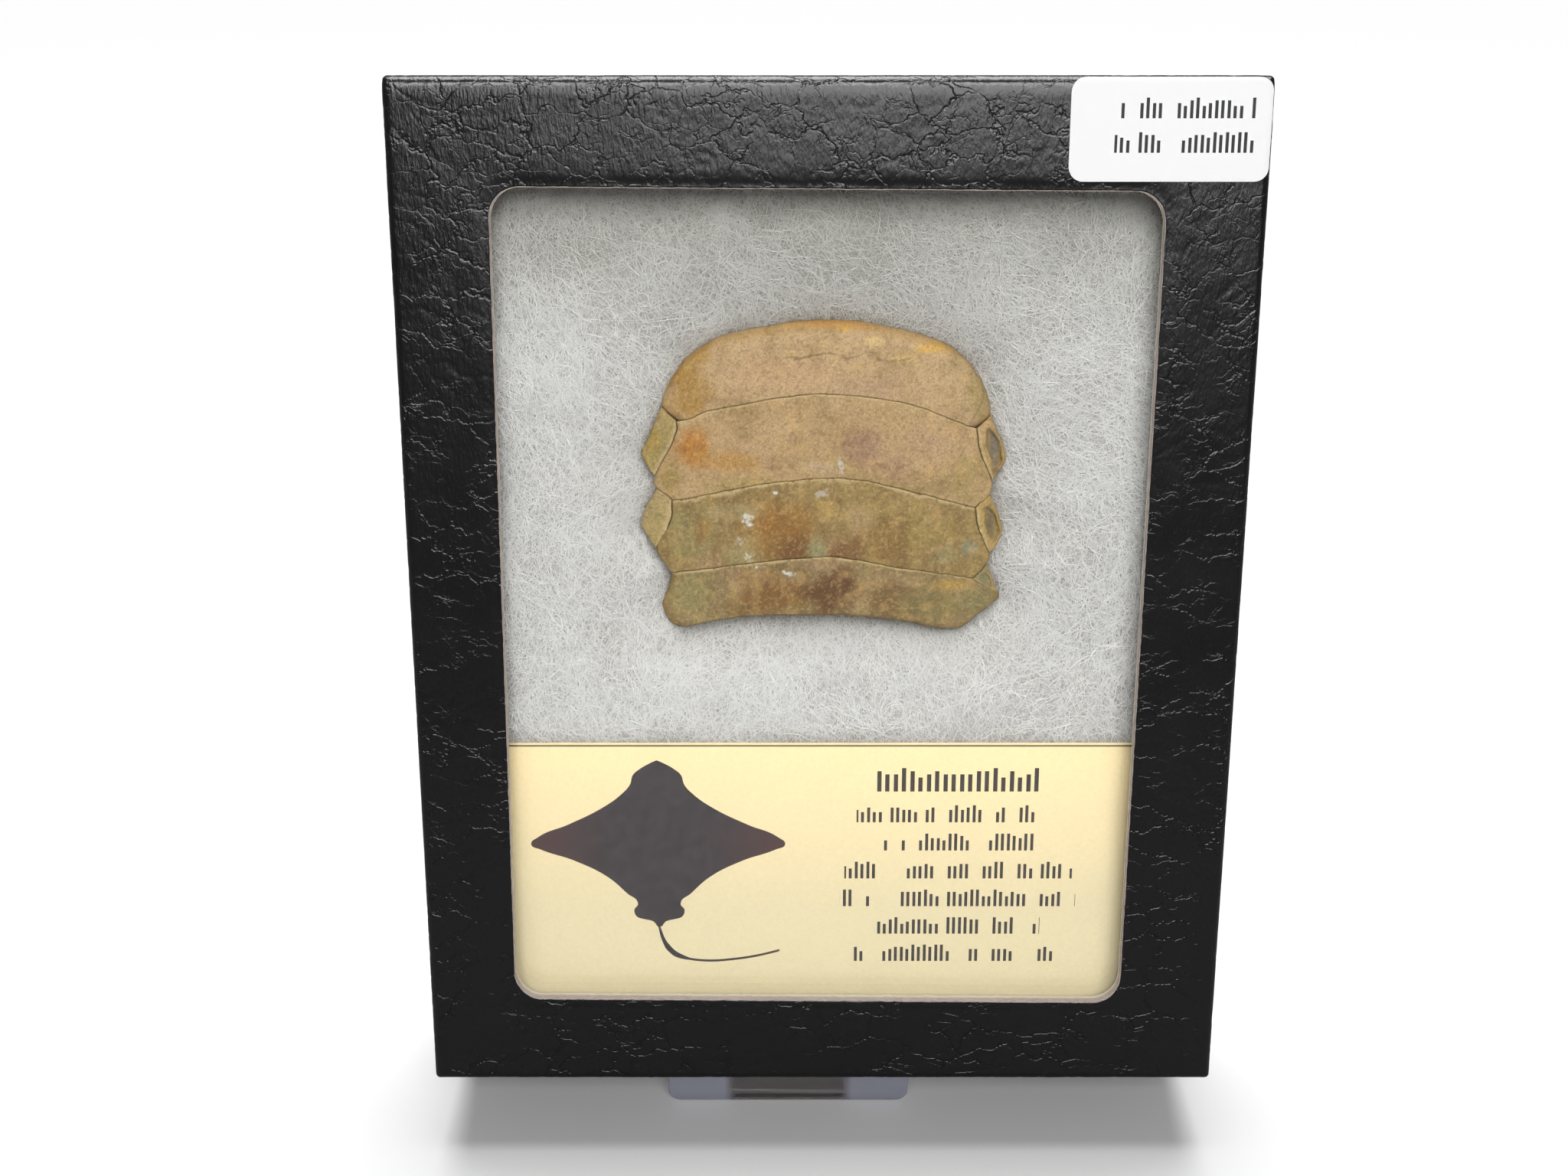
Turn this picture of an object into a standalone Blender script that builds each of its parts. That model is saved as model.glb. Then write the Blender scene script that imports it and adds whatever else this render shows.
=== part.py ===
"""Fossil eagle ray tooth plate, glazed in a small display box that leans on a clear stand.

Units are metres, +Z is up and the front faces -Y. The box and what lies in it are
modelled upright in the box's own frame: X across, Z up from the front's lower edge, Y
from the front face to the back. The empty "box_lean" tips that frame back.
"""

import math

import bmesh
import bpy
import numpy as np

MM = 0.001

# Clearance between pieces that touch in the real thing
FIT = 0.3 * MM

# The box as a whole
BOX_WIDTH = 107.95 * MM
BOX_HEIGHT = 133.35 * MM
BOX_DEPTH = 25.4 * MM
LEAN = math.radians(14)
FRONT_EDGE_HEIGHT = 10.6 * MM
# From the front's lower edge back to the middle of the whole depth, where the origin is
ORIGIN_BEHIND_FRONT = 38.87 * MM

# The lid: covered board that slides over the tray
LID_BOARD = 2.1 * MM
LID_DEPTH = 24.4 * MM
LID_EDGE_RADIUS = 1.2 * MM
LID_CORNER_RADIUS = 1.4 * MM
WINDOW_WIDTH = 82.9 * MM
WINDOW_HEIGHT = 107.9 * MM
WINDOW_RADIUS = 5 * MM
WINDOW_RIGHT_OF_MIDDLE = -0.4 * MM
WINDOW_ABOVE_MIDDLE = -0.7 * MM
WINDOW_TURN = math.radians(-0.4)

GLASS_THICK = 2 * MM
GLASS_FRONT = LID_BOARD + FIT
GLASS_BACK = GLASS_FRONT + GLASS_THICK

TRAY_WALL = 1.8 * MM
TRAY_SIDE_CLEARANCE = 0.4 * MM
TRAY_FRONT = GLASS_BACK + FIT

CARD_THICK = 0.35 * MM
CARD_TOP = 47.8 * MM
CARD_MARGIN = 0.4 * MM

STICKER_THICK = 0.2 * MM
STICKER_LIFT = 0.1 * MM
STICKER_WIDTH = 24.4 * MM
STICKER_HEIGHT = 12.2 * MM
STICKER_RADIUS = 1.8 * MM
STICKER_MIDDLE = (41.4 * MM, 126.9 * MM)

# The tooth plate: outlines in millimetres across and up from its middle
PLATE_MIDDLE = 83 * MM
PLATE_FRONT = 5.1 * MM
PLATE_BACK = 14.2 * MM
PLATE_HALF_WIDTH = 24 * MM
PLATE_HALF_HEIGHT = 20.8 * MM
DOME_ACROSS = 2.7 * MM
DOME_UP = 0.7 * MM
HALF_SEAM = 0.15 * MM
ROOT_GROOVE = 1.6 * MM
ROOT_LOBES = 12

TOP_LINE = [
    (-18.4, 15.9), (-14.7, 18.4), (-10.2, 19.7), (-3.2, 20.8),
    (3.6, 20.8), (10.6, 19.6), (15.9, 17.8), (19.0, 15.4),
]
FIRST_SEAM = [
    (-19.4, 7.9), (-17.6, 8.3), (-15.8, 9.2), (-11.9, 10.0), (-6.7, 11.0),
    (-1.5, 11.6), (2.0, 11.5), (7.2, 11.0), (12.5, 9.8), (17.2, 7.9), (19.8, 7.0),
]
SECOND_SEAM = [
    (-20.1, -2.5), (-17.4, -2.1), (-12.0, -0.8), (-6.7, 0.1), (-1.4, 0.7),
    (2.1, 0.7), (5.6, 0.3), (11.0, -1.0), (16.4, -2.5), (19.9, -3.4),
]
THIRD_SEAM = [
    (-20.5, -12.2), (-15.7, -11.6), (-10.3, -10.7), (-5.0, -10.1), (0.4, -9.7),
    (4.0, -10.1), (9.3, -11.2), (14.8, -12.1), (19.9, -13.0),
]
BOTTOM_LINE = [
    (-18.7, -19.9), (-14.0, -18.7), (-8.6, -18.0), (2.2, -17.9),
    (7.6, -18.4), (11.3, -19.0), (15.0, -19.9), (18.3, -20.1),
]
MEDIAN_TEETH = {
    "tooth_median_1": {
        "lower": FIRST_SEAM,
        "upper": TOP_LINE,
        "left": [(-19.4, 7.9), (-21.4, 9.8), (-20.4, 12.9), (-18.4, 15.9)],
        "right": [(19.8, 7.0), (21.7, 8.7), (20.9, 12.3), (19.0, 15.4)],
    },
    "tooth_median_2": {
        "lower": SECOND_SEAM,
        "upper": FIRST_SEAM,
        "left": [(-20.1, -2.5), (-22.1, -0.9), (-22.4, 0.7), (-19.6, 6.1), (-19.4, 7.9)],
        "right": [(19.9, -3.4), (21.8, -1.8), (22.1, 0.2), (20.4, 4.0), (19.8, 7.0)],
    },
    "tooth_median_3": {
        "lower": THIRD_SEAM,
        "upper": SECOND_SEAM,
        "left": [(-20.5, -12.2), (-22.4, -8.9), (-20.5, -5.4), (-20.1, -2.5)],
        "right": [(19.9, -13.0), (21.8, -11.1), (21.9, -9.5), (20.5, -6.5), (19.9, -3.4)],
    },
    "tooth_median_4": {
        "lower": BOTTOM_LINE,
        "upper": THIRD_SEAM,
        "left": [(-18.7, -19.9), (-20.4, -19.6), (-21.8, -17.2), (-20.7, -13.8), (-20.5, -12.2)],
        "right": [(18.3, -20.1), (20.1, -18.6), (23.6, -15.5), (20.6, -13.5), (19.9, -13.0)],
    },
}
LATERAL_TEETH = {
    "tooth_lateral_left_1": {
        "lower": [(-23.1, 1.4), (-22.4, 0.7)],
        "upper": [(-21.4, 9.8), (-19.4, 7.9)],
        "left": [(-23.1, 1.4), (-24.2, 3.8), (-23.4, 5.3), (-21.4, 9.8)],
        "right": [(-22.4, 0.7), (-19.6, 6.1), (-19.4, 7.9)],
        "hollow": 0,
    },
    "tooth_lateral_left_2": {
        "lower": [(-23.1, -8.2), (-22.4, -8.9)],
        "upper": [(-22.1, -0.9), (-20.1, -2.5)],
        "left": [(-23.1, -8.2), (-24.4, -5.9), (-23.6, -3.3), (-22.1, -0.9)],
        "right": [(-22.4, -8.9), (-20.5, -5.4), (-20.1, -2.5)],
        "hollow": 0,
    },
    "tooth_lateral_right_1": {
        "lower": [(22.1, 0.2), (23.0, 1.4)],
        "upper": [(19.8, 7.0), (21.7, 8.7)],
        "left": [(22.1, 0.2), (20.4, 4.0), (19.8, 7.0)],
        "right": [(23.0, 1.4), (23.9, 3.0), (23.2, 5.6), (21.7, 8.7)],
        "hollow": 1.1 * MM,
    },
    "tooth_lateral_right_2": {
        "lower": [(21.9, -9.5), (22.9, -8.8)],
        "upper": [(19.9, -3.4), (21.8, -1.8)],
        "left": [(21.9, -9.5), (20.5, -6.5), (19.9, -3.4)],
        "right": [(22.9, -8.8), (23.7, -6.6), (23.0, -4.0), (21.8, -1.8)],
        "hollow": 1.1 * MM,
    },
    "tooth_lateral_right_3": {
        "lower": [(20.6, -13.5), (23.6, -15.5)],
        "upper": [(19.9, -13.0), (21.8, -11.1)],
        "left": [(20.6, -13.5), (19.9, -13.0)],
        "right": [(23.6, -15.5), (22.1, -12.0), (21.8, -11.1)],
        "hollow": 0.5 * MM,
    },
}

# How far each outer border of the plate rolls over
TOP_ROLL = 2.8 * MM
BOTTOM_ROLL = 1.2 * MM
END_ROLL = 1.6 * MM
SEAM_ROLL = 0.3 * MM
ROLL_STATION = 0.35
HOLLOW_NARROWING = (2.5, 1.6)

# The batting: flat against the glass and the card, sunk round the plate, with a pocket under it
BATTING_TOP = GLASS_BACK + FIT
BATTING_UNDER_CARD = TRAY_FRONT + CARD_THICK + FIT
BATTING_AT_PLATE = 9.5 * MM
BATTING_SLOPE = 13 * MM
BATTING_CARD_STEP = 4 * MM
POCKET_SCALE = 1.03

# The stand: one bent sheet, given from its front foot to its rear foot
STAND_SHEET = 2.5 * MM
STAND_WIDTH = 34.8 * MM
STAND_RIGHT_OF_MIDDLE = -4.75 * MM
STAND_SKIRT_SETBACK = 6.9 * MM
STAND_BACK_REST = 58 * MM
STAND_REAR_FOOT = 76 * MM
STAND_BEND = 3.2 * MM
STAND_TOP_BEND = 4.2 * MM
STAND_CORNER = 1.6 * MM


def clear_scene():
    for item in list(bpy.data.objects):
        bpy.data.objects.remove(item, do_unlink=True)


def finish(name, colour, roughness, transmission=0.0, ior=1.45):
    """A Principled material; the colour is linear RGB."""
    made = bpy.data.materials.new(name)
    made.use_nodes = True
    shader = made.node_tree.nodes["Principled BSDF"]
    shader.inputs["Base Color"].default_value = (*colour, 1)
    shader.inputs["Roughness"].default_value = roughness
    shader.inputs["Transmission Weight"].default_value = transmission
    shader.inputs["IOR"].default_value = ior
    return made


def add_object(name, points, faces, material, parent=None):
    mesh = bpy.data.meshes.new(name)
    mesh.from_pydata(np.asarray(points).tolist(), [], faces)
    mesh.update()
    if material:
        mesh.materials.append(material)
    made = bpy.data.objects.new(name, mesh)
    bpy.context.scene.collection.objects.link(made)
    made.parent = parent
    return made


def face_outwards(thing):
    body = bmesh.new()
    body.from_mesh(thing.data)
    bmesh.ops.recalc_face_normals(body, faces=body.faces)
    body.to_mesh(thing.data)
    body.free()


def shade_round(thing, angle):
    thing.data.shade_smooth()
    thing.data.set_sharp_from_angle(angle=math.radians(angle))


def rounded_rectangle(half_width, half_height, radius, per_corner):
    """Points round a rectangle with arc corners, anticlockwise from the right edge's foot."""
    turn = np.linspace(0, math.pi / 2, per_corner)
    corner = np.stack([np.cos(turn), np.sin(turn)], axis=1) * radius
    points = []
    for quarter, (side, rise) in enumerate(((1, 1), (-1, 1), (-1, -1), (1, -1))):
        angle = quarter * math.pi / 2
        spin = np.array([[math.cos(angle), math.sin(angle)], [-math.sin(angle), math.cos(angle)]])
        middle = np.array([side * (half_width - radius), rise * (half_height - radius)])
        points.append(corner @ spin + middle)
    return np.concatenate(points)


def ring_at(outline, depth, middle=(0.0, 0.0), turn=0.0):
    """An outline turned about its middle, moved, and set at a depth behind the front face."""
    spin = np.array([[math.cos(turn), math.sin(turn)], [-math.sin(turn), math.cos(turn)]])
    across, up = (outline @ spin + np.array(middle)).T
    return np.stack([across, np.full_like(across, depth), up], axis=1)


def faces_between_rings(ring_count, ring_size, closed):
    """Quads that join each ring to the next, and the last to the first where closed."""
    faces = []
    for ring in range(ring_count if closed else ring_count - 1):
        after = (ring + 1) % ring_count
        for i in range(ring_size):
            j = (i + 1) % ring_size
            faces.append((ring * ring_size + i, ring * ring_size + j,
                          after * ring_size + j, after * ring_size + i))
    return faces


def grid_faces(index):
    """Quads over a grid of point numbers."""
    corners = (index[:-1, :-1], index[1:, :-1], index[1:, 1:], index[:-1, 1:])
    return np.stack([corner.ravel() for corner in corners], axis=1).tolist()


def rim_of(index):
    """The point numbers round the border of a grid, once round."""
    return np.concatenate([index[:-1, 0], index[-1, :-1], index[:0:-1, -1], index[0, :0:-1]])


def wall_faces(rim, other_rim):
    """Quads that join two rims of the same length."""
    return np.stack([rim, np.roll(rim, -1), np.roll(other_rim, -1), other_rim], axis=1).tolist()


def make_lid(lean, material):
    """One profile carried round the box: window edge, front, rounded edge, side, rim and inside."""
    per_corner = 6
    half_w, half_h = BOX_WIDTH / 2, BOX_HEIGHT / 2
    box_middle = (0.0, half_h)
    window_middle = (WINDOW_RIGHT_OF_MIDDLE, half_h + WINDOW_ABOVE_MIDDLE)

    def window(shrink, depth):
        outline = rounded_rectangle(
            WINDOW_WIDTH / 2 - shrink, WINDOW_HEIGHT / 2 - shrink, WINDOW_RADIUS, per_corner)
        return ring_at(outline, depth, window_middle, WINDOW_TURN)

    def shell(inset, depth):
        radius = max(LID_CORNER_RADIUS - inset, 0.3 * MM)
        outline = rounded_rectangle(half_w - inset, half_h - inset, radius, per_corner)
        return ring_at(outline, depth, box_middle)

    lip = 0.3 * MM
    rings = [window(0, LID_BOARD), window(0, lip), window(-lip, 0)]
    for step in range(4):
        angle = step / 3 * math.pi / 2
        inset = LID_EDGE_RADIUS * (1 - math.sin(angle))
        rings.append(shell(inset, LID_EDGE_RADIUS * (1 - math.cos(angle))))
    rings += [shell(0, LID_DEPTH - lip), shell(lip, LID_DEPTH), shell(LID_BOARD - lip, LID_DEPTH)]
    rings += [shell(LID_BOARD, LID_DEPTH - lip), shell(LID_BOARD, LID_BOARD)]
    faces = faces_between_rings(len(rings), per_corner * 4, closed=True)
    lid = add_object("lid", np.concatenate(rings), faces, material, lean)
    face_outwards(lid)
    shade_round(lid, 40)


def tray_half_size():
    clearance = LID_BOARD + TRAY_SIDE_CLEARANCE
    return BOX_WIDTH / 2 - clearance, BOX_HEIGHT / 2 - clearance


def make_tray(lean, material):
    """Outside face of the floor, outer wall, rim, inner wall and inside face of the floor."""
    per_corner = 4
    half_w, half_h = tray_half_size()
    box_middle = (0.0, BOX_HEIGHT / 2)
    edge = 0.6 * MM

    def shell(inset, depth):
        radius = max(LID_CORNER_RADIUS - inset, 0.3 * MM)
        outline = rounded_rectangle(half_w - inset, half_h - inset, radius, per_corner)
        return ring_at(outline, depth, box_middle)

    rings = [shell(edge, BOX_DEPTH), shell(0, BOX_DEPTH - edge), shell(0, TRAY_FRONT),
             shell(TRAY_WALL, TRAY_FRONT), shell(TRAY_WALL, BOX_DEPTH - TRAY_WALL)]
    ring_size = per_corner * 4
    faces = faces_between_rings(len(rings), ring_size, closed=False)
    faces.append(tuple(range(ring_size)))
    faces.append(tuple(range((len(rings) - 1) * ring_size, len(rings) * ring_size)))
    tray = add_object("base_tray", np.concatenate(rings), faces, material, lean)
    face_outwards(tray)
    shade_round(tray, 40)


def make_plate(name, width, height, radius, middle, front, back, material, lean):
    """A flat piece with arc corners, from its front depth to its back depth."""
    per_corner = 5
    outline = rounded_rectangle(width / 2, height / 2, radius, per_corner)
    rings = [ring_at(outline, front, middle), ring_at(outline, back, middle)]
    ring_size = per_corner * 4
    faces = faces_between_rings(2, ring_size, closed=False)
    faces += [tuple(range(ring_size)), tuple(range(ring_size, 2 * ring_size))]
    plate = add_object(name, np.concatenate(rings), faces, material, lean)
    face_outwards(plate)
    shade_round(plate, 40)


def smooth_line(points, count):
    """A Catmull-Rom curve through the points, cut into equal lengths."""
    points = np.asarray(points, float)
    ends = np.concatenate([[2 * points[0] - points[1]], points, [2 * points[-1] - points[-2]]])
    steps = np.linspace(0, 1, 12, endpoint=False)[:, None]
    pieces = []
    for a, b, c, d in zip(ends, ends[1:], ends[2:], ends[3:]):
        pieces.append(0.5 * (2 * b + (c - a) * steps + (2 * a - 5 * b + 4 * c - d) * steps**2
                             + (3 * b - a - 3 * c + d) * steps**3))
    curve = np.concatenate([*pieces, points[-1:]])
    length = np.concatenate([[0], np.cumsum(np.linalg.norm(np.diff(curve, axis=0), axis=1))])
    even = np.linspace(0, length[-1], count)
    return np.stack([np.interp(even, length, curve[:, axis]) for axis in (0, 1)], axis=1)


def cornered_line(points, count):
    """Points along straight runs, of which every given point is one."""
    points = np.asarray(points, float)
    lengths = np.linalg.norm(np.diff(points, axis=0), axis=1)
    shares = np.maximum(1, np.round(lengths / lengths.sum() * (count - 1))).astype(int)
    shares[np.argmax(lengths)] += count - 1 - shares.sum()
    knots = np.concatenate([[0], np.cumsum(shares)])
    return np.stack([np.interp(np.arange(count), knots, points[:, axis]) for axis in (0, 1)], axis=1)


def blend_of_sides(lower, upper, left, right, across, up):
    """Coons patch: the sum of both ruled blends of opposite sides, less the blend of the corners."""
    def along(line, where):
        spots = np.linspace(0, 1, len(line))
        return np.stack([np.interp(where, spots, line[:, axis]) for axis in (0, 1)], axis=1)

    s = across[:, None, None]
    t = up[None, :, None]
    rows = (1 - t) * along(lower, across)[:, None] + t * along(upper, across)[:, None]
    columns = (1 - s) * along(left, up)[None] + s * along(right, up)[None]
    corners = ((1 - s) * (1 - t) * lower[0] + s * (1 - t) * lower[-1]
               + (1 - s) * t * upper[0] + s * t * upper[-1])
    return rows + columns - corners


def quarter_round(distance, radius):
    """How far a border that rolls over with this radius has dropped at a distance inside it."""
    inside = np.clip(radius - distance, 0, radius)
    return radius - np.sqrt(radius**2 - inside**2)


def crown_depth(across, up):
    """The chewing surface: a shallow dome, nearest to the glass in its middle."""
    return (PLATE_FRONT + DOME_ACROSS * (across / PLATE_HALF_WIDTH) ** 2
            + DOME_UP * (up / PLATE_HALF_HEIGHT) ** 2)


def make_tooth(name, sides, rolls, stations, lobes, hollow, material, lean):
    """A patch between four borders, domed and rolled over, with a wall down to its grooved root."""
    columns, rows = stations
    drawn = smooth_line if len(sides["lower"]) > 2 else cornered_line
    lower, upper = (drawn(sides[side], columns) * MM for side in ("lower", "upper"))
    left, right = (cornered_line(sides[side], rows) * MM for side in ("left", "right"))
    width = np.linalg.norm(upper[-1] - upper[0] + lower[-1] - lower[0]) / 2
    height = np.linalg.norm(upper.mean(axis=0) - lower.mean(axis=0))

    def places(count, size, first_roll, last_roll):
        inner = np.linspace(0, 1, count)[1:-1]
        start, end = HALF_SEAM / size, 1 - HALF_SEAM / size
        first = start + first_roll * ROLL_STATION / size
        last = end - last_roll * ROLL_STATION / size
        return np.concatenate([[start, first], inner[(inner > first) & (inner < last)], [last, end]])

    s = places(columns, width, rolls["left"], rolls["right"])
    t = places(rows, height, rolls["lower"], rolls["upper"])
    flat = blend_of_sides(lower, upper, left, right, s, t)
    drop = sum(quarter_round(distance, rolls[side]) for distance, side in (
        ((t - t[0])[None, :] * height, "lower"), ((t[-1] - t)[None, :] * height, "upper"),
        ((s - s[0])[:, None] * width, "left"), ((s[-1] - s)[:, None] * width, "right")))
    depth = crown_depth(flat[..., 0], flat[..., 1]) + drop
    narrowing_across, narrowing_up = HOLLOW_NARROWING
    lens = (1 - narrowing_across * (2 * s - 1)[:, None] ** 2
            - narrowing_up * (2 * t - 1)[None, :] ** 2)
    depth = depth + hollow * np.clip(lens, 0, 1)
    groove = np.abs((np.arange(len(s)) * 2 * lobes / len(s)) % 2 - 1) * ROOT_GROOVE
    root = np.broadcast_to((PLATE_BACK - groove)[:, None], depth.shape)

    height_up = flat[..., 1] + PLATE_MIDDLE
    crown = np.stack([flat[..., 0], depth, height_up], axis=-1).reshape(-1, 3)
    under = np.stack([flat[..., 0], root, height_up], axis=-1).reshape(-1, 3)
    index = np.arange(depth.size).reshape(depth.shape)
    faces = grid_faces(index) + grid_faces(index[::-1] + depth.size)
    faces += wall_faces(rim_of(index), rim_of(index) + depth.size)
    tooth = add_object(name, np.concatenate([crown, under]), faces, material, lean)
    face_outwards(tooth)
    shade_round(tooth, 50)


def plate_outline():
    """The silhouette of the whole plate, as one closed line in millimetres."""
    left_side = [(-18.7, -19.9), (-21.8, -17.2), (-20.5, -12.2), (-22.4, -8.9), (-24.4, -5.9),
                 (-22.1, -0.9), (-24.2, 3.8), (-21.4, 9.8), (-18.4, 15.9)]
    right_side = [(19.0, 15.4), (21.7, 8.7), (23.9, 3.0), (22.1, 0.2), (21.8, -1.8),
                  (23.7, -6.6), (21.8, -11.1), (23.6, -15.5), (18.3, -20.1)]
    top, bottom = (smooth_line(line, 12)[1:-1] for line in (TOP_LINE, BOTTOM_LINE))
    return np.concatenate([left_side, top, right_side, bottom[::-1]])


def distance_outside(points, outline):
    """Distance from each point to a closed line, and 0 for a point inside it."""
    best = np.full(len(points), np.inf)
    inside = np.zeros(len(points), bool)
    for a, b in zip(outline, np.roll(outline, -1, axis=0)):
        run = b - a
        share = np.clip(((points - a) @ run) / (run @ run), 0, 1)
        best = np.minimum(best, np.linalg.norm(points - a - share[:, None] * run, axis=1))
        straddles = (a[1] > points[:, 1]) != (b[1] > points[:, 1])
        with np.errstate(divide="ignore", invalid="ignore"):
            crossing = a[0] + (points[:, 1] - a[1]) * run[0] / run[1]
        inside ^= straddles & (points[:, 0] < crossing)
    return np.where(inside, 0.0, best)


def make_pocket_cutter(lean):
    """A prism of the plate's outline, a little larger all round, from the glass to below the root."""
    outline = plate_outline() * MM * POCKET_SCALE
    rings = [ring_at(outline, depth, (0, PLATE_MIDDLE)) for depth in (0.0, PLATE_BACK + FIT)]
    size = len(outline)
    faces = faces_between_rings(2, size, closed=False)
    faces += [tuple(range(size)), tuple(range(size, 2 * size))]
    cutter = add_object("pocket_cutter", np.concatenate(rings), faces, None, lean)
    face_outwards(cutter)
    cutter.hide_render = True
    cutter.display_type = "WIRE"
    return cutter


def make_batting(lean, material):
    """A pad whose face is flat against the glass and sinks towards the tooth plate."""
    columns, rows = 29, 35
    half_w, half_h = (half - TRAY_WALL - FIT for half in tray_half_size())
    across, up = np.meshgrid(np.linspace(-half_w, half_w, columns),
                             np.linspace(-half_h, half_h, rows), indexing="ij")
    height_up = up + BOX_HEIGHT / 2
    flat = np.stack([across.ravel(), height_up.ravel() - PLATE_MIDDLE], axis=1)
    away = distance_outside(flat, plate_outline() * MM).reshape(across.shape)
    rise = 1 - (1 - np.clip(away / BATTING_SLOPE, 0, 1)) ** 2
    depth = BATTING_AT_PLATE + (BATTING_TOP - BATTING_AT_PLATE) * rise
    below_card = height_up < CARD_TOP + BATTING_CARD_STEP
    depth = np.where(below_card, np.maximum(depth, BATTING_UNDER_CARD), depth)
    face = np.stack([across, depth, height_up], axis=-1).reshape(-1, 3)
    index = np.arange(depth.size).reshape(depth.shape)
    rim = rim_of(index)
    back = face[rim] + 0.0
    back[:, 1] = BOX_DEPTH - TRAY_WALL - FIT
    back_rim = depth.size + np.arange(len(rim))
    faces = grid_faces(index) + wall_faces(rim, back_rim) + [back_rim.tolist()]
    batting = add_object("fibre_batting", np.concatenate([face, back]), faces, material, lean)
    face_outwards(batting)
    pocket = batting.modifiers.new("pocket under the plate", "BOOLEAN")
    pocket.operation = "DIFFERENCE"
    pocket.solver = "EXACT"
    pocket.object = make_pocket_cutter(lean)
    shade_round(batting, 60)


def filleted_path(knots, radii, per_bend):
    """A line through the knots with each inner knot rounded to its radius."""
    path = [np.array(knots[0])]
    for before, knot, after, radius in zip(knots, knots[1:], knots[2:], radii):
        before, knot, after = np.array(before), np.array(knot), np.array(after)
        back = (before - knot) / np.linalg.norm(before - knot)
        on = (after - knot) / np.linalg.norm(after - knot)
        half = math.acos(np.clip(back @ on, -1, 1)) / 2
        centre = knot + (back + on) / np.linalg.norm(back + on) * radius / math.sin(half)
        start = knot + back * radius / math.tan(half) - centre
        end = knot + on * radius / math.tan(half) - centre
        sweep = math.pi - 2 * half
        for step in range(per_bend + 1):
            share = step / per_bend
            mixed = (math.sin((1 - share) * sweep) * start + math.sin(share * sweep) * end)
            path.append(centre + mixed / math.sin(sweep))
    path.append(np.array(knots[-1]))
    return np.array(path)


def box_point(depth, height):
    """Where a point of the leaning box's middle plane lies, as (Y, Z) from the front's edge."""
    return np.array([depth * math.cos(LEAN) + height * math.sin(LEAN),
                     FRONT_EDGE_HEIGHT - depth * math.sin(LEAN) + height * math.cos(LEAN)])


def make_stand(material):
    """A strip of sheet carried along its bent path, with rounded corners at both free ends."""
    half = STAND_SHEET / 2
    ledge_front = box_point(0, -FIT - half)
    ledge_line = box_point(1, -FIT - half) - ledge_front
    skirt = STAND_SKIRT_SETBACK + half
    front_knot = ledge_front + ledge_line * (skirt - ledge_front[0]) / ledge_line[0]
    heel = box_point(BOX_DEPTH + FIT + half, -FIT - half)
    top = box_point(BOX_DEPTH + FIT + half, STAND_BACK_REST)
    knots = [(skirt, 0.0), front_knot, heel, top, (STAND_REAR_FOOT, 0.0)]
    path = filleted_path(knots, [STAND_BEND, STAND_BEND, STAND_TOP_BEND], 5)

    run = np.concatenate([[0], np.cumsum(np.linalg.norm(np.diff(path, axis=0), axis=1))])
    turn = np.linspace(0, math.pi / 2, 5)
    near = STAND_CORNER * (1 - np.cos(turn))
    where = np.unique(np.concatenate([near, run[1:-1], run[-1] - near]))
    spine = np.stack([np.interp(where, run, path[:, axis]) for axis in (0, 1)], axis=1)
    ahead = np.gradient(spine, where, axis=0)
    ahead /= np.linalg.norm(ahead, axis=1)[:, None]
    side = np.stack([-ahead[:, 1], ahead[:, 0]], axis=1)
    to_end = np.minimum(where, where[-1] - where)
    inset = STAND_CORNER - np.sqrt(np.clip(
        STAND_CORNER**2 - np.clip(STAND_CORNER - to_end, 0, None) ** 2, 0, None))
    half_width = STAND_WIDTH / 2 - inset

    # Rings stand square to the path, but lie level near the rear foot, which is cut flat.
    offset = side * half
    rear = where[-1] - where < 2 * STAND_CORNER
    offset[rear] = np.stack([half / side[rear, 0], np.zeros(rear.sum())], axis=1)
    rings = np.empty((len(spine), 4, 3))
    rings[..., 0] = STAND_RIGHT_OF_MIDDLE + half_width[:, None] * np.array([-1, 1, 1, -1])
    rings[..., 1:] = spine[:, None] + offset[:, None] * np.array([-1, -1, 1, 1])[None, :, None]
    faces = faces_between_rings(len(rings), 4, closed=False)
    faces += [(0, 1, 2, 3), tuple(range(len(rings) * 4 - 4, len(rings) * 4))]
    stand = add_object("stand", rings.reshape(-1, 3), faces, material)
    stand.location.y = -ORIGIN_BEHIND_FRONT
    face_outwards(stand)
    shade_round(stand, 30)


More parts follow.
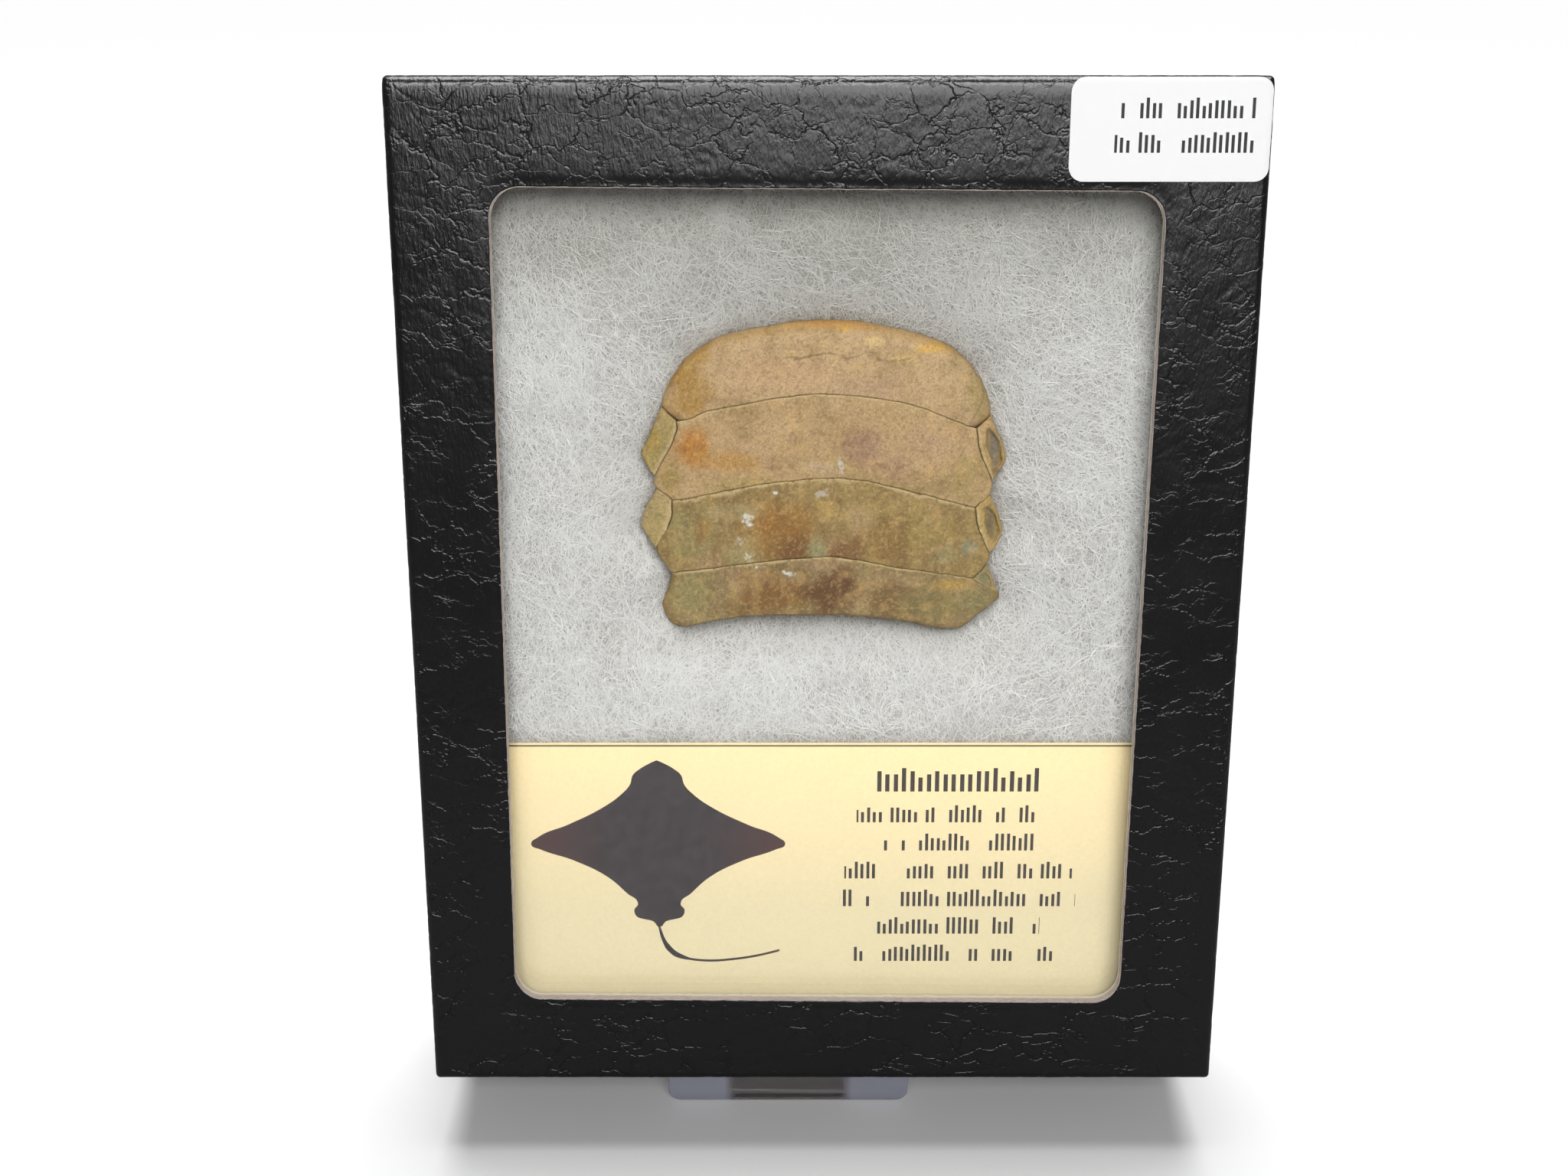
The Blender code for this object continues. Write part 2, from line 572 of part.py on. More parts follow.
def main():
    clear_scene()
    leatherette = finish("black leatherette paper", (0.016, 0.017, 0.019), 0.5)
    black_paper = finish("black paper over board", (0.02, 0.02, 0.021), 0.7)
    window_glass = finish("window glass", (0.95, 0.98, 0.97), 0.03, transmission=1.0, ior=1.52)
    batting_fibre = finish("white polyester batting", (0.72, 0.74, 0.74), 0.9)
    cream_card = finish("printed cream card", (0.89, 0.81, 0.47), 0.6)
    white_label = finish("white sticker paper", (0.86, 0.86, 0.86), 0.55)
    fossil_enamel = finish("fossil tooth enamel", (0.33, 0.23, 0.11), 0.7)
    clear_acrylic = finish("clear acrylic sheet", (0.9, 0.93, 0.96), 0.08, transmission=1.0, ior=1.49)

    lean = bpy.data.objects.new("box_lean", None)
    bpy.context.scene.collection.objects.link(lean)
    lean.location = (0, -ORIGIN_BEHIND_FRONT, FRONT_EDGE_HEIGHT)
    lean.rotation_euler = (-LEAN, 0, 0)

    make_lid(lean, leatherette)
    make_tray(lean, black_paper)
    inner_w, inner_h = BOX_WIDTH - 2 * LID_BOARD, BOX_HEIGHT - 2 * LID_BOARD
    make_plate("glass_pane", inner_w - 2.5 * FIT, inner_h - 2.5 * FIT, 0.5 * MM,
               (0, BOX_HEIGHT / 2), GLASS_FRONT, GLASS_BACK, window_glass, lean)
    tray_w, tray_h = tray_half_size()
    card_foot = BOX_HEIGHT / 2 - tray_h + TRAY_WALL + CARD_MARGIN
    card_width = 2 * (tray_w - TRAY_WALL - CARD_MARGIN)
    make_plate("label_card", card_width, CARD_TOP - card_foot, 0.5 * MM,
               (0, (CARD_TOP + card_foot) / 2), TRAY_FRONT, TRAY_FRONT + CARD_THICK, cream_card, lean)
    make_plate("sticker", STICKER_WIDTH, STICKER_HEIGHT, STICKER_RADIUS, STICKER_MIDDLE,
               -STICKER_LIFT - STICKER_THICK, -STICKER_LIFT, white_label, lean)
    make_batting(lean, batting_fibre)

    for name, sides in MEDIAN_TEETH.items():
        rolls = {"lower": SEAM_ROLL, "upper": SEAM_ROLL, "left": END_ROLL, "right": END_ROLL}
        if sides["upper"] is TOP_LINE:
            rolls["upper"] = TOP_ROLL
        if sides["lower"] is BOTTOM_LINE:
            rolls["lower"] = BOTTOM_ROLL
        make_tooth(name, sides, rolls, (25, 6), ROOT_LOBES, 0, fossil_enamel, lean)
    for name, sides in LATERAL_TEETH.items():
        outer = "left" if "left" in name else "right"
        rolls = {"lower": SEAM_ROLL, "upper": SEAM_ROLL, "left": SEAM_ROLL, "right": SEAM_ROLL}
        rolls[outer] = END_ROLL / 2
        make_tooth(name, sides, rolls, (5, 7), 2, sides["hollow"], fossil_enamel, lean)
    make_stand(clear_acrylic)


main()
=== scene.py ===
"""Fossil eagle ray tooth plate in a small glazed box that leans on a clear stand.

The pieces are numpy surfaces in millimetres, most of them in the box's own frame: across
to the right, depth behind the front face, and up from the front's lower edge. They are
then leaned back by the box's tilt and written in metres. Every piece rides on "root".
"""

import itertools
import math

import bpy
import numpy as np
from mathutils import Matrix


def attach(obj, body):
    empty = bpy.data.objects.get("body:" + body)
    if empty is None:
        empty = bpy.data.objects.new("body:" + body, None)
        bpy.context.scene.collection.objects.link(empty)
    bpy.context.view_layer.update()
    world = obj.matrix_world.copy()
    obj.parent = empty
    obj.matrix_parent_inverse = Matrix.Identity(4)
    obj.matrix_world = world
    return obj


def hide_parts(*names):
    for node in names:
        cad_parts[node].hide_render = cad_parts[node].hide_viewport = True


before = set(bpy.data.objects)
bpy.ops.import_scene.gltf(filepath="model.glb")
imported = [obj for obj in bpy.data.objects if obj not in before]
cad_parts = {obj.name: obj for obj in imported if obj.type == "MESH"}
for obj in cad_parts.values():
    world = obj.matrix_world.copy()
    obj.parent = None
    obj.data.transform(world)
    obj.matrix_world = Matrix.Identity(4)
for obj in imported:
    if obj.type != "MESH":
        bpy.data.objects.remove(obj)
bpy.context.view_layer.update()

# The CAD's own sizes, in millimetres
BOX_WIDTH = 107.95
BOX_HEIGHT = 133.35
BOX_DEPTH = 25.4
LEAN = math.radians(14)
FRONT_EDGE_HEIGHT = 10.6
ORIGIN_BEHIND_FRONT = 38.87
FIT = 0.3

LID_BOARD = 2.1
LID_DEPTH = 24.4
LID_EDGE_RADIUS = 1.1
LID_CORNER_RADIUS = 0.7
WINDOW_WIDTH = 82.9
WINDOW_HEIGHT = 107.9
WINDOW_RADIUS = 3.7
WINDOW_MIDDLE = (-0.4, BOX_HEIGHT / 2 - 0.7)
WINDOW_TURN = math.radians(-0.4)
GLASS_BACK = 4.4

TRAY_WALL = 1.8
TRAY_FRONT = 4.7
TRAY_HALF_WIDTH = BOX_WIDTH / 2 - 2.5
TRAY_HALF_HEIGHT = BOX_HEIGHT / 2 - 2.5

CARD_TOP = 47.8

STICKER_WIDTH = 24.4
STICKER_HEIGHT = 12.2
STICKER_RADIUS = 1.8
STICKER_MIDDLE = (41.4, 126.9)

PLATE_MIDDLE = 83
PLATE_FRONT = 5.1
PLATE_BACK = 14.2
PLATE_HALF_WIDTH = 24
PLATE_HALF_HEIGHT = 20.8
DOME_ACROSS = 2.7
DOME_UP = 0.7

BATTING_UNDER_CARD = 5.35
BATTING_AT_PLATE = 9.5
BATTING_SLOPE = 13

STAND_SHEET = 2.5
STAND_WIDTH = 34.8
STAND_RIGHT_OF_MIDDLE = -4.75
STAND_SKIRT_SETBACK = 6.9
STAND_BACK_REST = 58
STAND_REAR_FOOT = 76
STAND_BEND = 3.2
STAND_TOP_BEND = 4.2
STAND_CORNER = 1.6

# The teeth's borders, across and up from the middle of the plate
TOP_LINE = [
    (-18.4, 15.9), (-14.7, 18.4), (-10.2, 19.7), (-3.2, 20.8),
    (3.6, 20.8), (10.6, 19.6), (15.9, 17.8), (19.0, 15.4),
]
FIRST_SEAM = [
    (-19.4, 7.9), (-17.6, 8.3), (-15.8, 9.2), (-11.9, 10.0), (-6.7, 11.0),
    (-1.5, 11.6), (2.0, 11.5), (7.2, 11.0), (12.5, 9.8), (17.2, 7.9), (19.8, 7.0),
]
SECOND_SEAM = [
    (-20.1, -2.5), (-17.4, -2.1), (-12.0, -0.8), (-6.7, 0.1), (-1.4, 0.7),
    (2.1, 0.7), (5.6, 0.3), (11.0, -1.0), (16.4, -2.5), (19.9, -3.4),
]
THIRD_SEAM = [
    (-20.5, -12.2), (-15.7, -11.6), (-10.3, -10.7), (-5.0, -10.1), (0.4, -9.7),
    (4.0, -10.1), (9.3, -11.2), (14.8, -12.1), (19.9, -13.0),
]
BOTTOM_LINE = [
    (-18.7, -19.9), (-14.0, -18.7), (-8.6, -18.0), (2.2, -17.9),
    (7.6, -18.4), (11.3, -19.0), (15.0, -19.9), (18.3, -20.1),
]
LEFT_SILHOUETTE = [
    (-18.7, -19.9), (-21.8, -17.2), (-20.5, -12.2), (-22.4, -8.9), (-24.4, -5.9),
    (-22.1, -0.9), (-24.2, 3.8), (-21.4, 9.8), (-18.4, 15.9),
]
RIGHT_SILHOUETTE = [
    (19.0, 15.4), (21.7, 8.7), (23.9, 3.0), (22.1, 0.2), (21.8, -1.8),
    (23.7, -6.6), (21.8, -11.1), (23.6, -15.5), (18.3, -20.1),
]

# Each tooth: its four borders, and the radius to which it rolls over at the lower, upper, left and
# right one
TEETH = {
    "tooth_median_1": {
        "lower": FIRST_SEAM,
        "upper": TOP_LINE,
        "left": [(-19.4, 7.9), (-21.4, 9.8), (-20.4, 12.9), (-18.4, 15.9)],
        "right": [(19.8, 7.0), (21.7, 8.7), (20.9, 12.3), (19.0, 15.4)],
        "rolls": (0.13, 2.8, 1.6, 1.6),
    },
    "tooth_median_2": {
        "lower": SECOND_SEAM,
        "upper": FIRST_SEAM,
        "left": [(-20.1, -2.5), (-22.1, -0.9), (-22.4, 0.7), (-19.6, 6.1), (-19.4, 7.9)],
        "right": [(19.9, -3.4), (21.8, -1.8), (22.1, 0.2), (20.4, 4.0), (19.8, 7.0)],
        "rolls": (0.13, 0.13, 0.4, 0.4),
    },
    "tooth_median_3": {
        "lower": THIRD_SEAM,
        "upper": SECOND_SEAM,
        "left": [(-20.5, -12.2), (-22.4, -8.9), (-20.5, -5.4), (-20.1, -2.5)],
        "right": [(19.9, -13.0), (21.8, -11.1), (21.9, -9.5), (20.5, -6.5), (19.9, -3.4)],
        "rolls": (0.13, 0.13, 0.4, 0.4),
    },
    "tooth_median_4": {
        "lower": BOTTOM_LINE,
        "upper": THIRD_SEAM,
        "left": [(-18.7, -19.9), (-20.4, -19.6), (-21.8, -17.2), (-20.7, -13.8), (-20.5, -12.2)],
        "right": [(18.3, -20.1), (20.1, -18.6), (23.6, -15.5), (20.6, -13.5), (19.9, -13.0)],
        "rolls": (1.2, 0.13, 1.6, 0.4),
    },
    "tooth_lateral_left_1": {
        "lower": [(-23.1, 1.4), (-22.4, 0.7)],
        "upper": [(-21.4, 9.8), (-19.4, 7.9)],
        "left": [(-23.1, 1.4), (-24.2, 3.8), (-23.4, 5.3), (-21.4, 9.8)],
        "right": [(-22.4, 0.7), (-19.6, 6.1), (-19.4, 7.9)],
        "rolls": (0.14, 0.14, 0.6, 0.13),
    },
    "tooth_lateral_left_2": {
        "lower": [(-23.1, -8.2), (-22.4, -8.9)],
        "upper": [(-22.1, -0.9), (-20.1, -2.5)],
        "left": [(-23.1, -8.2), (-24.4, -5.9), (-23.6, -3.3), (-22.1, -0.9)],
        "right": [(-22.4, -8.9), (-20.5, -5.4), (-20.1, -2.5)],
        "rolls": (0.14, 0.14, 0.6, 0.13),
    },
    "tooth_lateral_right_1": {
        "lower": [(22.1, 0.2), (23.0, 1.4)],
        "upper": [(19.8, 7.0), (21.7, 8.7)],
        "left": [(22.1, 0.2), (20.4, 4.0), (19.8, 7.0)],
        "right": [(23.0, 1.4), (23.9, 3.0), (23.2, 5.6), (21.7, 8.7)],
        "rolls": (0.14, 0.14, 0.13, 0.6),
    },
    "tooth_lateral_right_2": {
        "lower": [(21.9, -9.5), (22.9, -8.8)],
        "upper": [(19.9, -3.4), (21.8, -1.8)],
        "left": [(21.9, -9.5), (20.5, -6.5), (19.9, -3.4)],
        "right": [(22.9, -8.8), (23.7, -6.6), (23.0, -4.0), (21.8, -1.8)],
        "rolls": (0.14, 0.14, 0.13, 0.6),
    },
    "tooth_lateral_right_3": {
        "lower": [(20.6, -13.5), (23.6, -15.5)],
        "upper": [(19.9, -13.0), (21.8, -11.1)],
        "left": [(20.6, -13.5), (19.9, -13.0)],
        "right": [(23.6, -15.5), (22.1, -12.0), (21.8, -11.1)],
        "rolls": (0.14, 0.14, 0.13, 0.6),
    },
}


def srgb(text):
    """Linear RGB, as an array of three, of an sRGB hex value."""
    shown = np.array([int(text[k:k + 2], 16) for k in (1, 3, 5)]) / 255
    return np.where(shown <= 0.04045, shown / 12.92, ((shown + 0.055) / 1.055) ** 2.4)


def rgba(text):
    """The same as a socket takes it, with its fourth value."""
    return (*srgb(text), 1.0)


# Noise in numpy


def lattice(cells, seed):
    """A fixed random value from 0 to 1 for each triple of whole numbers, by mixing their bits."""
    x, y, z = np.moveaxis(cells.astype(np.int64), -1, 0)
    mixed = (x * 374761393 + y * 668265263 + z * 1103515245 + seed * 144664757) & 0xFFFFFFFF
    mixed = ((mixed ^ (mixed >> 13)) * 1274126177) & 0xFFFFFFFF
    mixed = ((mixed ^ (mixed >> 15)) * 1540483477) & 0xFFFFFFFF
    return ((mixed ^ (mixed >> 16)) & 0xFFFF) / 0xFFFF


def noise(points, size, seed, octaves=1):
    """Smooth noise from about -1 to 1.

    Lattice values this far apart, eased between, halved and doubled in scale for each octave.
    """
    total = 0.0
    for octave in range(octaves):
        scaled = points / size * 2**octave + 17.3 * octave
        base = np.floor(scaled)
        share = scaled - base
        share = share * share * (3 - 2 * share)
        value = 0.0
        for corner in itertools.product((0, 1), repeat=3):
            weight = np.prod(np.where(corner, share, 1 - share), axis=-1)
            value = value + weight * lattice(base + corner, seed + octave)
        total = total + (2 * value - 1) / 2**octave
    return total


def two_nearest(points, size, seed):
    """Distances to the nearest and the second nearest of points scattered one to a cube of this size."""
    scaled = points / size
    base = np.floor(scaled)
    first = np.full(points.shape[:-1], 9.0)
    second = first + 0
    for offset in itertools.product((-1, 0, 1), repeat=3):
        cell = base + offset
        spot = cell + np.stack([lattice(cell, seed + axis) for axis in range(3)], axis=-1)
        gap = np.linalg.norm(scaled - spot, axis=-1)
        second = np.minimum(second, np.maximum(first, gap))
        first = np.minimum(first, gap)
    return first * size, second * size


def eased(value, start, end):
    """0 below start, 1 above end, and an S curve between."""
    share = np.clip((value - start) / (end - start), 0, 1)
    return share * share * (3 - 2 * share)


# Shapes in numpy


def to_world(points):
    """Points of the box's frame (across, depth, up) leaned back about the front's lower edge."""
    across, depth, up = np.moveaxis(points, -1, 0)
    back = depth * math.cos(LEAN) + up * math.sin(LEAN) - ORIGIN_BEHIND_FRONT
    height = FRONT_EDGE_HEIGHT - depth * math.sin(LEAN) + up * math.cos(LEAN)
    return np.stack([across, back, height], axis=-1)


def grid_faces(index, wrap=False):
    """Quads over a grid of point numbers, whose second direction closes on itself where wrap is set."""
    if wrap:
        index = np.concatenate([index, index[:, :1]], axis=1)
    corners = (index[:-1, :-1], index[1:, :-1], index[1:, 1:], index[:-1, 1:])
    return np.stack([corner.ravel() for corner in corners], axis=1)


def numbers(grid, start=0):
    """The point numbers of a grid of points, counted from start."""
    return start + np.arange(grid[..., 0].size).reshape(grid.shape[:2])


def rim_of(index):
    """The point numbers round the border of a grid, once round."""
    return np.concatenate([index[:-1, 0], index[-1, :-1], index[:0:-1, -1], index[0, :0:-1]])


def volume_of(points, faces):
    """Signed volume inside closed faces: the sum over their triangles of a . (b x c) / 6."""
    total = 0.0
    for some in faces:
        for k in range(1, some.shape[1] - 1):
            a, b, c = points[some[:, 0]], points[some[:, k]], points[some[:, k + 1]]
            total += np.einsum("ij,ij->", a, np.cross(b, c)) / 6
    return total


def add_piece(name, points, faces, materials, replaces=(), kinds=None, tint=None, sharp=40):
    """An object at the origin from points in millimetres and a list of face arrays, turned outwards.

    kinds gives each face its material's number, and tint each point its linear colour.
    """
    if volume_of(points, faces) < 0:
        faces = [some[:, ::-1] for some in faces]
    corners = np.concatenate([some.ravel() for some in faces])
    counts = np.concatenate([np.full(len(some), some.shape[1]) for some in faces])
    mesh = bpy.data.meshes.new(name)
    mesh.vertices.add(len(points))
    mesh.vertices.foreach_set("co", (points / 1000).astype(np.float32).ravel())
    mesh.loops.add(len(corners))
    mesh.loops.foreach_set("vertex_index", corners.astype(np.int32))
    mesh.polygons.add(len(counts))
    mesh.polygons.foreach_set("loop_start", np.concatenate([[0], np.cumsum(counts)[:-1]]).astype(np.int32))
    if kinds is not None:
        mesh.polygons.foreach_set("material_index", kinds.astype(np.int32))
    mesh.update(calc_edges=True)
    if tint is not None:
        layer = mesh.color_attributes.new("tint", "FLOAT_COLOR", "POINT")
        layer.data.foreach_set("color", np.insert(tint, 3, 1.0, axis=1).astype(np.float32).ravel())
    for material in materials:
        mesh.materials.append(material)
    mesh.shade_smooth()
    mesh.set_sharp_from_angle(angle=math.radians(sharp))
    made = bpy.data.objects.new(name, mesh)
    bpy.context.scene.collection.objects.link(made)
    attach(made, "root")
    if replaces:
        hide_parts(*replaces)
    return made


def rounded_outline(half_width, half_height, radius, sides, corner):
    """A rounded rectangle, anticlockwise from the right side's top.

    An arc of corner points at each corner, and straight runs of sides[0] points across and sides[1]
    points up.
    """
    turn = np.linspace(0, math.pi / 2, corner)
    arcs = []
    for quarter, (across, up) in enumerate(((1, 1), (-1, 1), (-1, -1), (1, -1))):
        angle = turn + quarter * math.pi / 2
        middle = np.array([across * (half_width - radius), up * (half_height - radius)])
        arcs.append(middle + radius * np.stack([np.cos(angle), np.sin(angle)], axis=1))
    pieces = []
    for quarter in range(4):
        start, end = arcs[quarter][-1], arcs[(quarter + 1) % 4][0]
        share = np.linspace(0, 1, sides[quarter % 2] + 2)[1:-1, None]
        pieces += [arcs[quarter], start + share * (end - start)]
    return np.concatenate(pieces)


def ring_at(outline, depth, middle, turn=0.0):
    """An outline turned about its middle, moved there, and set at a depth."""
    spin = np.array([[math.cos(turn), math.sin(turn)], [-math.sin(turn), math.cos(turn)]])
    across, up = (outline @ spin + np.array(middle)).T
    return np.stack([across, np.full_like(across, depth), up], axis=1)


def grid_normals(grid):
    """Unit normals of a grid of closed rings, by the cross product of its two central differences."""
    first = np.gradient(grid, axis=0)
    second = np.roll(grid, -1, axis=1) - np.roll(grid, 1, axis=1)
    normal = np.cross(first, second)
    return normal / np.maximum(np.linalg.norm(normal, axis=-1, keepdims=True), 1e-9)


def crease_depth(points):
    """Wandering creases of the leather grain, 0 to 1.

    Deepest where the two nearest of spots scattered 4.6 mm apart are as far off as each other, once
    the place is pushed aside by about a millimetre.
    """
    bent = points + 0.9 * np.stack([noise(points, 2.2, 31 + k, 2) for k in range(3)], axis=-1)
    first, second = two_nearest(bent * np.array([1.0, 1.0, 1.25]), 4.6, 7)
    crease = 1 - eased(second - first, 0.0, 0.7)
    present = eased(noise(points, 9.0, 40, 2), -0.5, 0.3)
    return crease * (0.25 + 0.75 * present)


def leather_relief(points):
    """How far the covered board lies below its flat face: waves, pebbles and creases, 0 to 0.07 mm."""
    waves = 0.5 + 0.35 * noise(points, 11.0, 3, 3)
    pebbles = 0.5 + 0.5 * noise(points, 1.5, 5, 2)
    return 0.03 * np.clip(waves, 0, 1) + 0.006 * np.clip(pebbles, 0, 1) + 0.035 * crease_depth(points)


def box_ring(inset, depth, sides, corner):
    """A ring of the box's own outline, this far inside it and at this depth."""
    outline = rounded_outline(BOX_WIDTH / 2 - inset, BOX_HEIGHT / 2 - inset,
                              max(LID_CORNER_RADIUS - inset, 0.3), sides, corner)
    return ring_at(outline, depth, (0, BOX_HEIGHT / 2))


def top_roll(up):
    """How far the face has dropped towards the box's top edge: 0.55 r squared, over its last 2.6 mm."""
    return 0.55 * np.clip((up - BOX_HEIGHT + 2.6) / 2.6, 0, 1) ** 2


def make_lid_front(leather, raw_board):
    """The board with the window, as rings from its cut edge over the front and back underneath.

    Between the window's outline w and the outer one o a ring lies at w + b (o - w), for a share b.
    The paper dips by 0.15 mm to the window, whose cut edge wanders by about 0.05 mm.
    """
    sides, corner = (300, 380), 22
    flare, paper_round, paper_dip, cut_front = 0.08, 0.25, 0.15, 0.4

    def window(grown, depth):
        """A ring of the window's outline, this much larger and at this depth."""
        outline = rounded_outline(WINDOW_WIDTH / 2 + grown, WINDOW_HEIGHT / 2 + grown,
                                  WINDOW_RADIUS + grown, sides, corner)
        return ring_at(outline, depth, WINDOW_MIDDLE, WINDOW_TURN)

    rings = [window(flare * (depth - cut_front), depth) for depth in np.linspace(LID_BOARD, cut_front, 7)]
    for angle in np.linspace(0, math.pi / 2, 5)[1:]:
        rings.append(window(paper_round * (1 - math.cos(angle)), cut_front - paper_round * math.sin(angle)))
    cut_rings = len(rings) - 2
    inner = window(paper_round, paper_dip)
    outer = box_ring(LID_EDGE_RADIUS, 0.0, sides, corner)
    for share in np.linspace(0, 1, 36)[1:]:
        ring = inner + share * (outer - inner)
        ring[:, 1] = paper_dip * (1 - share) ** 12
        rings.append(ring)
    for angle in np.linspace(0, math.pi / 2, 8)[1:]:
        inset, depth = LID_EDGE_RADIUS * (1 - math.sin(angle)), LID_EDGE_RADIUS * (1 - math.cos(angle))
        rings.append(box_ring(inset, depth, sides, corner))
    rings.append(box_ring(0, LID_BOARD, sides, corner))
    grid = np.array(rings)
    grid[..., 1] += top_roll(grid[..., 2]) * (1 - eased(grid[..., 1], 0.7, LID_BOARD))
    relief = leather_relief(grid[cut_rings:])
    # Shallower at both edges of the paper, with a pressed line round the window
    relief[0] *= 0.3
    relief[2:4] += np.array([0.05, 0.02])[:, None]
    relief[-1] *= 0.5
    normal = grid_normals(grid)[cut_rings:]
    normal *= np.sign(-normal[10, 0, 1])
    grid[cut_rings:] -= normal * relief[..., None]
    from_middle = grid[:cut_rings, :, [0, 2]] - np.array(WINDOW_MIDDLE)
    away = np.linalg.norm(from_middle, axis=-1)
    wobble = 0.05 * noise(grid[:cut_rings], 0.8, 12, 3)
    grid[:cut_rings, :, [0, 2]] += from_middle / away[..., None] * wobble[..., None]
    underneath = grid[-1] + np.linspace(0, 1, 4)[1:-1, None, None] * (grid[0] - grid[-1])
    grid = np.concatenate([grid, underneath])
    index = numbers(grid)
    closed = np.concatenate([index, index[:1]])
    faces = grid_faces(closed, wrap=True)
    kinds = np.zeros(len(faces), int)
    kinds[: (cut_rings - 1) * grid.shape[1]] = 1
    add_piece("lid_front", to_world(grid.reshape(-1, 3)), [faces], [leather, raw_board],
              replaces=["lid"], kinds=kinds, sharp=50)


def make_lid_sides(leather):
    """The lid's four walls: outside, folded rim and lining, as rings round the box.

    Over the last 7.5 to 10 mm before each upright corner lies a folded ear of paper, 0.12 mm thick.
    Inside, the paper is turned in over the rim by 9.5 mm.
    """
    sides, corner = (150, 190), 10
    lip, paper = 0.55, 0.12
    places = [(0, depth) for depth in np.linspace(LID_BOARD, LID_DEPTH - lip, 40)]
    outside_rings = len(places) + 2
    for angle in np.linspace(0, math.pi / 2, 5)[1:]:
        places.append((lip * (1 - math.cos(angle)), LID_DEPTH - lip * (1 - math.sin(angle))))
    for angle in np.linspace(math.pi / 2, 0, 5)[:-1]:
        places.append((LID_BOARD - lip * (1 - math.cos(angle)), LID_DEPTH - lip * (1 - math.sin(angle))))
    places += [(LID_BOARD, depth) for depth in np.linspace(LID_DEPTH - lip, LID_BOARD, 34)]
    grid = np.array([box_ring(inset, depth, sides, corner) for inset, depth in places])
    across, depth, up = np.moveaxis(grid, -1, 0)
    outside = (np.arange(len(grid)) < outside_rings)[:, None]
    on_upright = np.abs(across) > BOX_WIDTH / 2 - 0.3
    from_corner = BOX_HEIGHT / 2 - np.abs(up - BOX_HEIGHT / 2)
    ear_end = 7.5 + 0.12 * (LID_DEPTH - depth)
    no_ear = eased(from_corner, ear_end - 0.1, ear_end + 0.25)
    step = np.where(on_upright & outside, paper * no_ear, 0.0)
    lining = np.where(~outside & (depth < LID_DEPTH - 9.5), paper, 0.0)
    relief = leather_relief(grid) * np.where(outside, 1.0, 0.6) + step + lining
    relief[[0, -1]] *= np.array([0.5, 0.0])[:, None]
    normal = grid_normals(grid)
    from_middle = grid[20][:, [0, 2]] - np.array((0, BOX_HEIGHT / 2))
    outward = np.sign(np.einsum("ij,ij->", normal[20][:, [0, 2]], from_middle))
    grid = grid - normal * outward * relief[..., None]
    index = numbers(grid)
    closed = np.concatenate([index, index[:1]])
    add_piece("lid_sides", to_world(grid.reshape(-1, 3)), [grid_faces(closed, wrap=True)], [leather],
              replaces=["lid"], sharp=50)


def make_tray(paper):
    """The tray: a grid over its outside floor, with loops of its rim for the walls.

    On the floor the wrap's paper is turned in by 13 mm and mitred, and a sheet covers all but the
    outermost 4 mm.
    """
    across, up = np.meshgrid(np.linspace(-TRAY_HALF_WIDTH, TRAY_HALF_WIDTH, 170),
                             np.linspace(-TRAY_HALF_HEIGHT, TRAY_HALF_HEIGHT, 211), indexing="ij")
    inside = np.minimum(TRAY_HALF_WIDTH - np.abs(across), TRAY_HALF_HEIGHT - np.abs(up))
    mitre = np.abs((TRAY_HALF_WIDTH - np.abs(across)) - (TRAY_HALF_HEIGHT - np.abs(up)))
    sheet = eased(inside, 4.0, 4.6)
    turned = 1 - eased(inside, 13.0, 13.8)
    fold = (1 - eased(mitre, 0.0, 0.7)) * (1 - eased(inside, 12.5, 13.5))
    spots = np.stack([across, np.zeros_like(across), up], axis=-1)
    level = 0.10 + 0.06 * (0.5 + 0.5 * noise(spots, 16.0, 77, 2))
    level = level + 0.1 * (1 - sheet) - 0.1 * turned * sheet + 0.06 * fold
    level = level + 0.03 * leather_relief(spots) / 0.1
    edge = 0.5 * (1 - np.sqrt(np.clip(1 - (1 - np.clip(inside / 0.5, 0, 1)) ** 2, 0, 1)))
    depth = BOX_DEPTH - np.clip(level, 0, 0.4) - edge
    face = np.stack([across, depth, up + BOX_HEIGHT / 2], axis=-1).reshape(-1, 3)
    index = np.arange(depth.size).reshape(depth.shape)
    rim = rim_of(index)

    def loop(inset, at_depth):
        """The floor's rim drawn in by the inset, at this depth."""
        ring = face[rim].copy()
        ring[:, 0] = np.clip(ring[:, 0], -TRAY_HALF_WIDTH + inset, TRAY_HALF_WIDTH - inset)
        ring[:, 2] = np.clip(
            ring[:, 2], BOX_HEIGHT / 2 - TRAY_HALF_HEIGHT + inset, BOX_HEIGHT / 2 + TRAY_HALF_HEIGHT - inset)
        ring[:, 1] = at_depth
        return ring

    walls = [(0, depth) for depth in (20, 14, 8, TRAY_FRONT + 0.4)]
    walls += [(0.12, TRAY_FRONT + 0.12), (0.4, TRAY_FRONT), (TRAY_WALL - 0.4, TRAY_FRONT)]
    walls += [(TRAY_WALL - 0.12, TRAY_FRONT + 0.12), (TRAY_WALL, TRAY_FRONT + 0.4)]
    walls += [(TRAY_WALL, depth) for depth in (10, 17, BOX_DEPTH - TRAY_WALL)]
    loops = np.array([loop(inset, at_depth) for inset, at_depth in walls])
    loop_index = numbers(loops, depth.size)
    joined = np.concatenate([rim[None], loop_index])
    faces = [grid_faces(index), grid_faces(joined, wrap=True), loop_index[-1][None]]
    faces[0] = facing_like(faces[1][: joined.shape[1]], faces[0])
    faces[2] = facing_like(faces[1], faces[2])
    add_piece("tray", to_world(np.concatenate([face, loops.reshape(-1, 3)])), faces, [paper],
              replaces=["base_tray"], sharp=50)


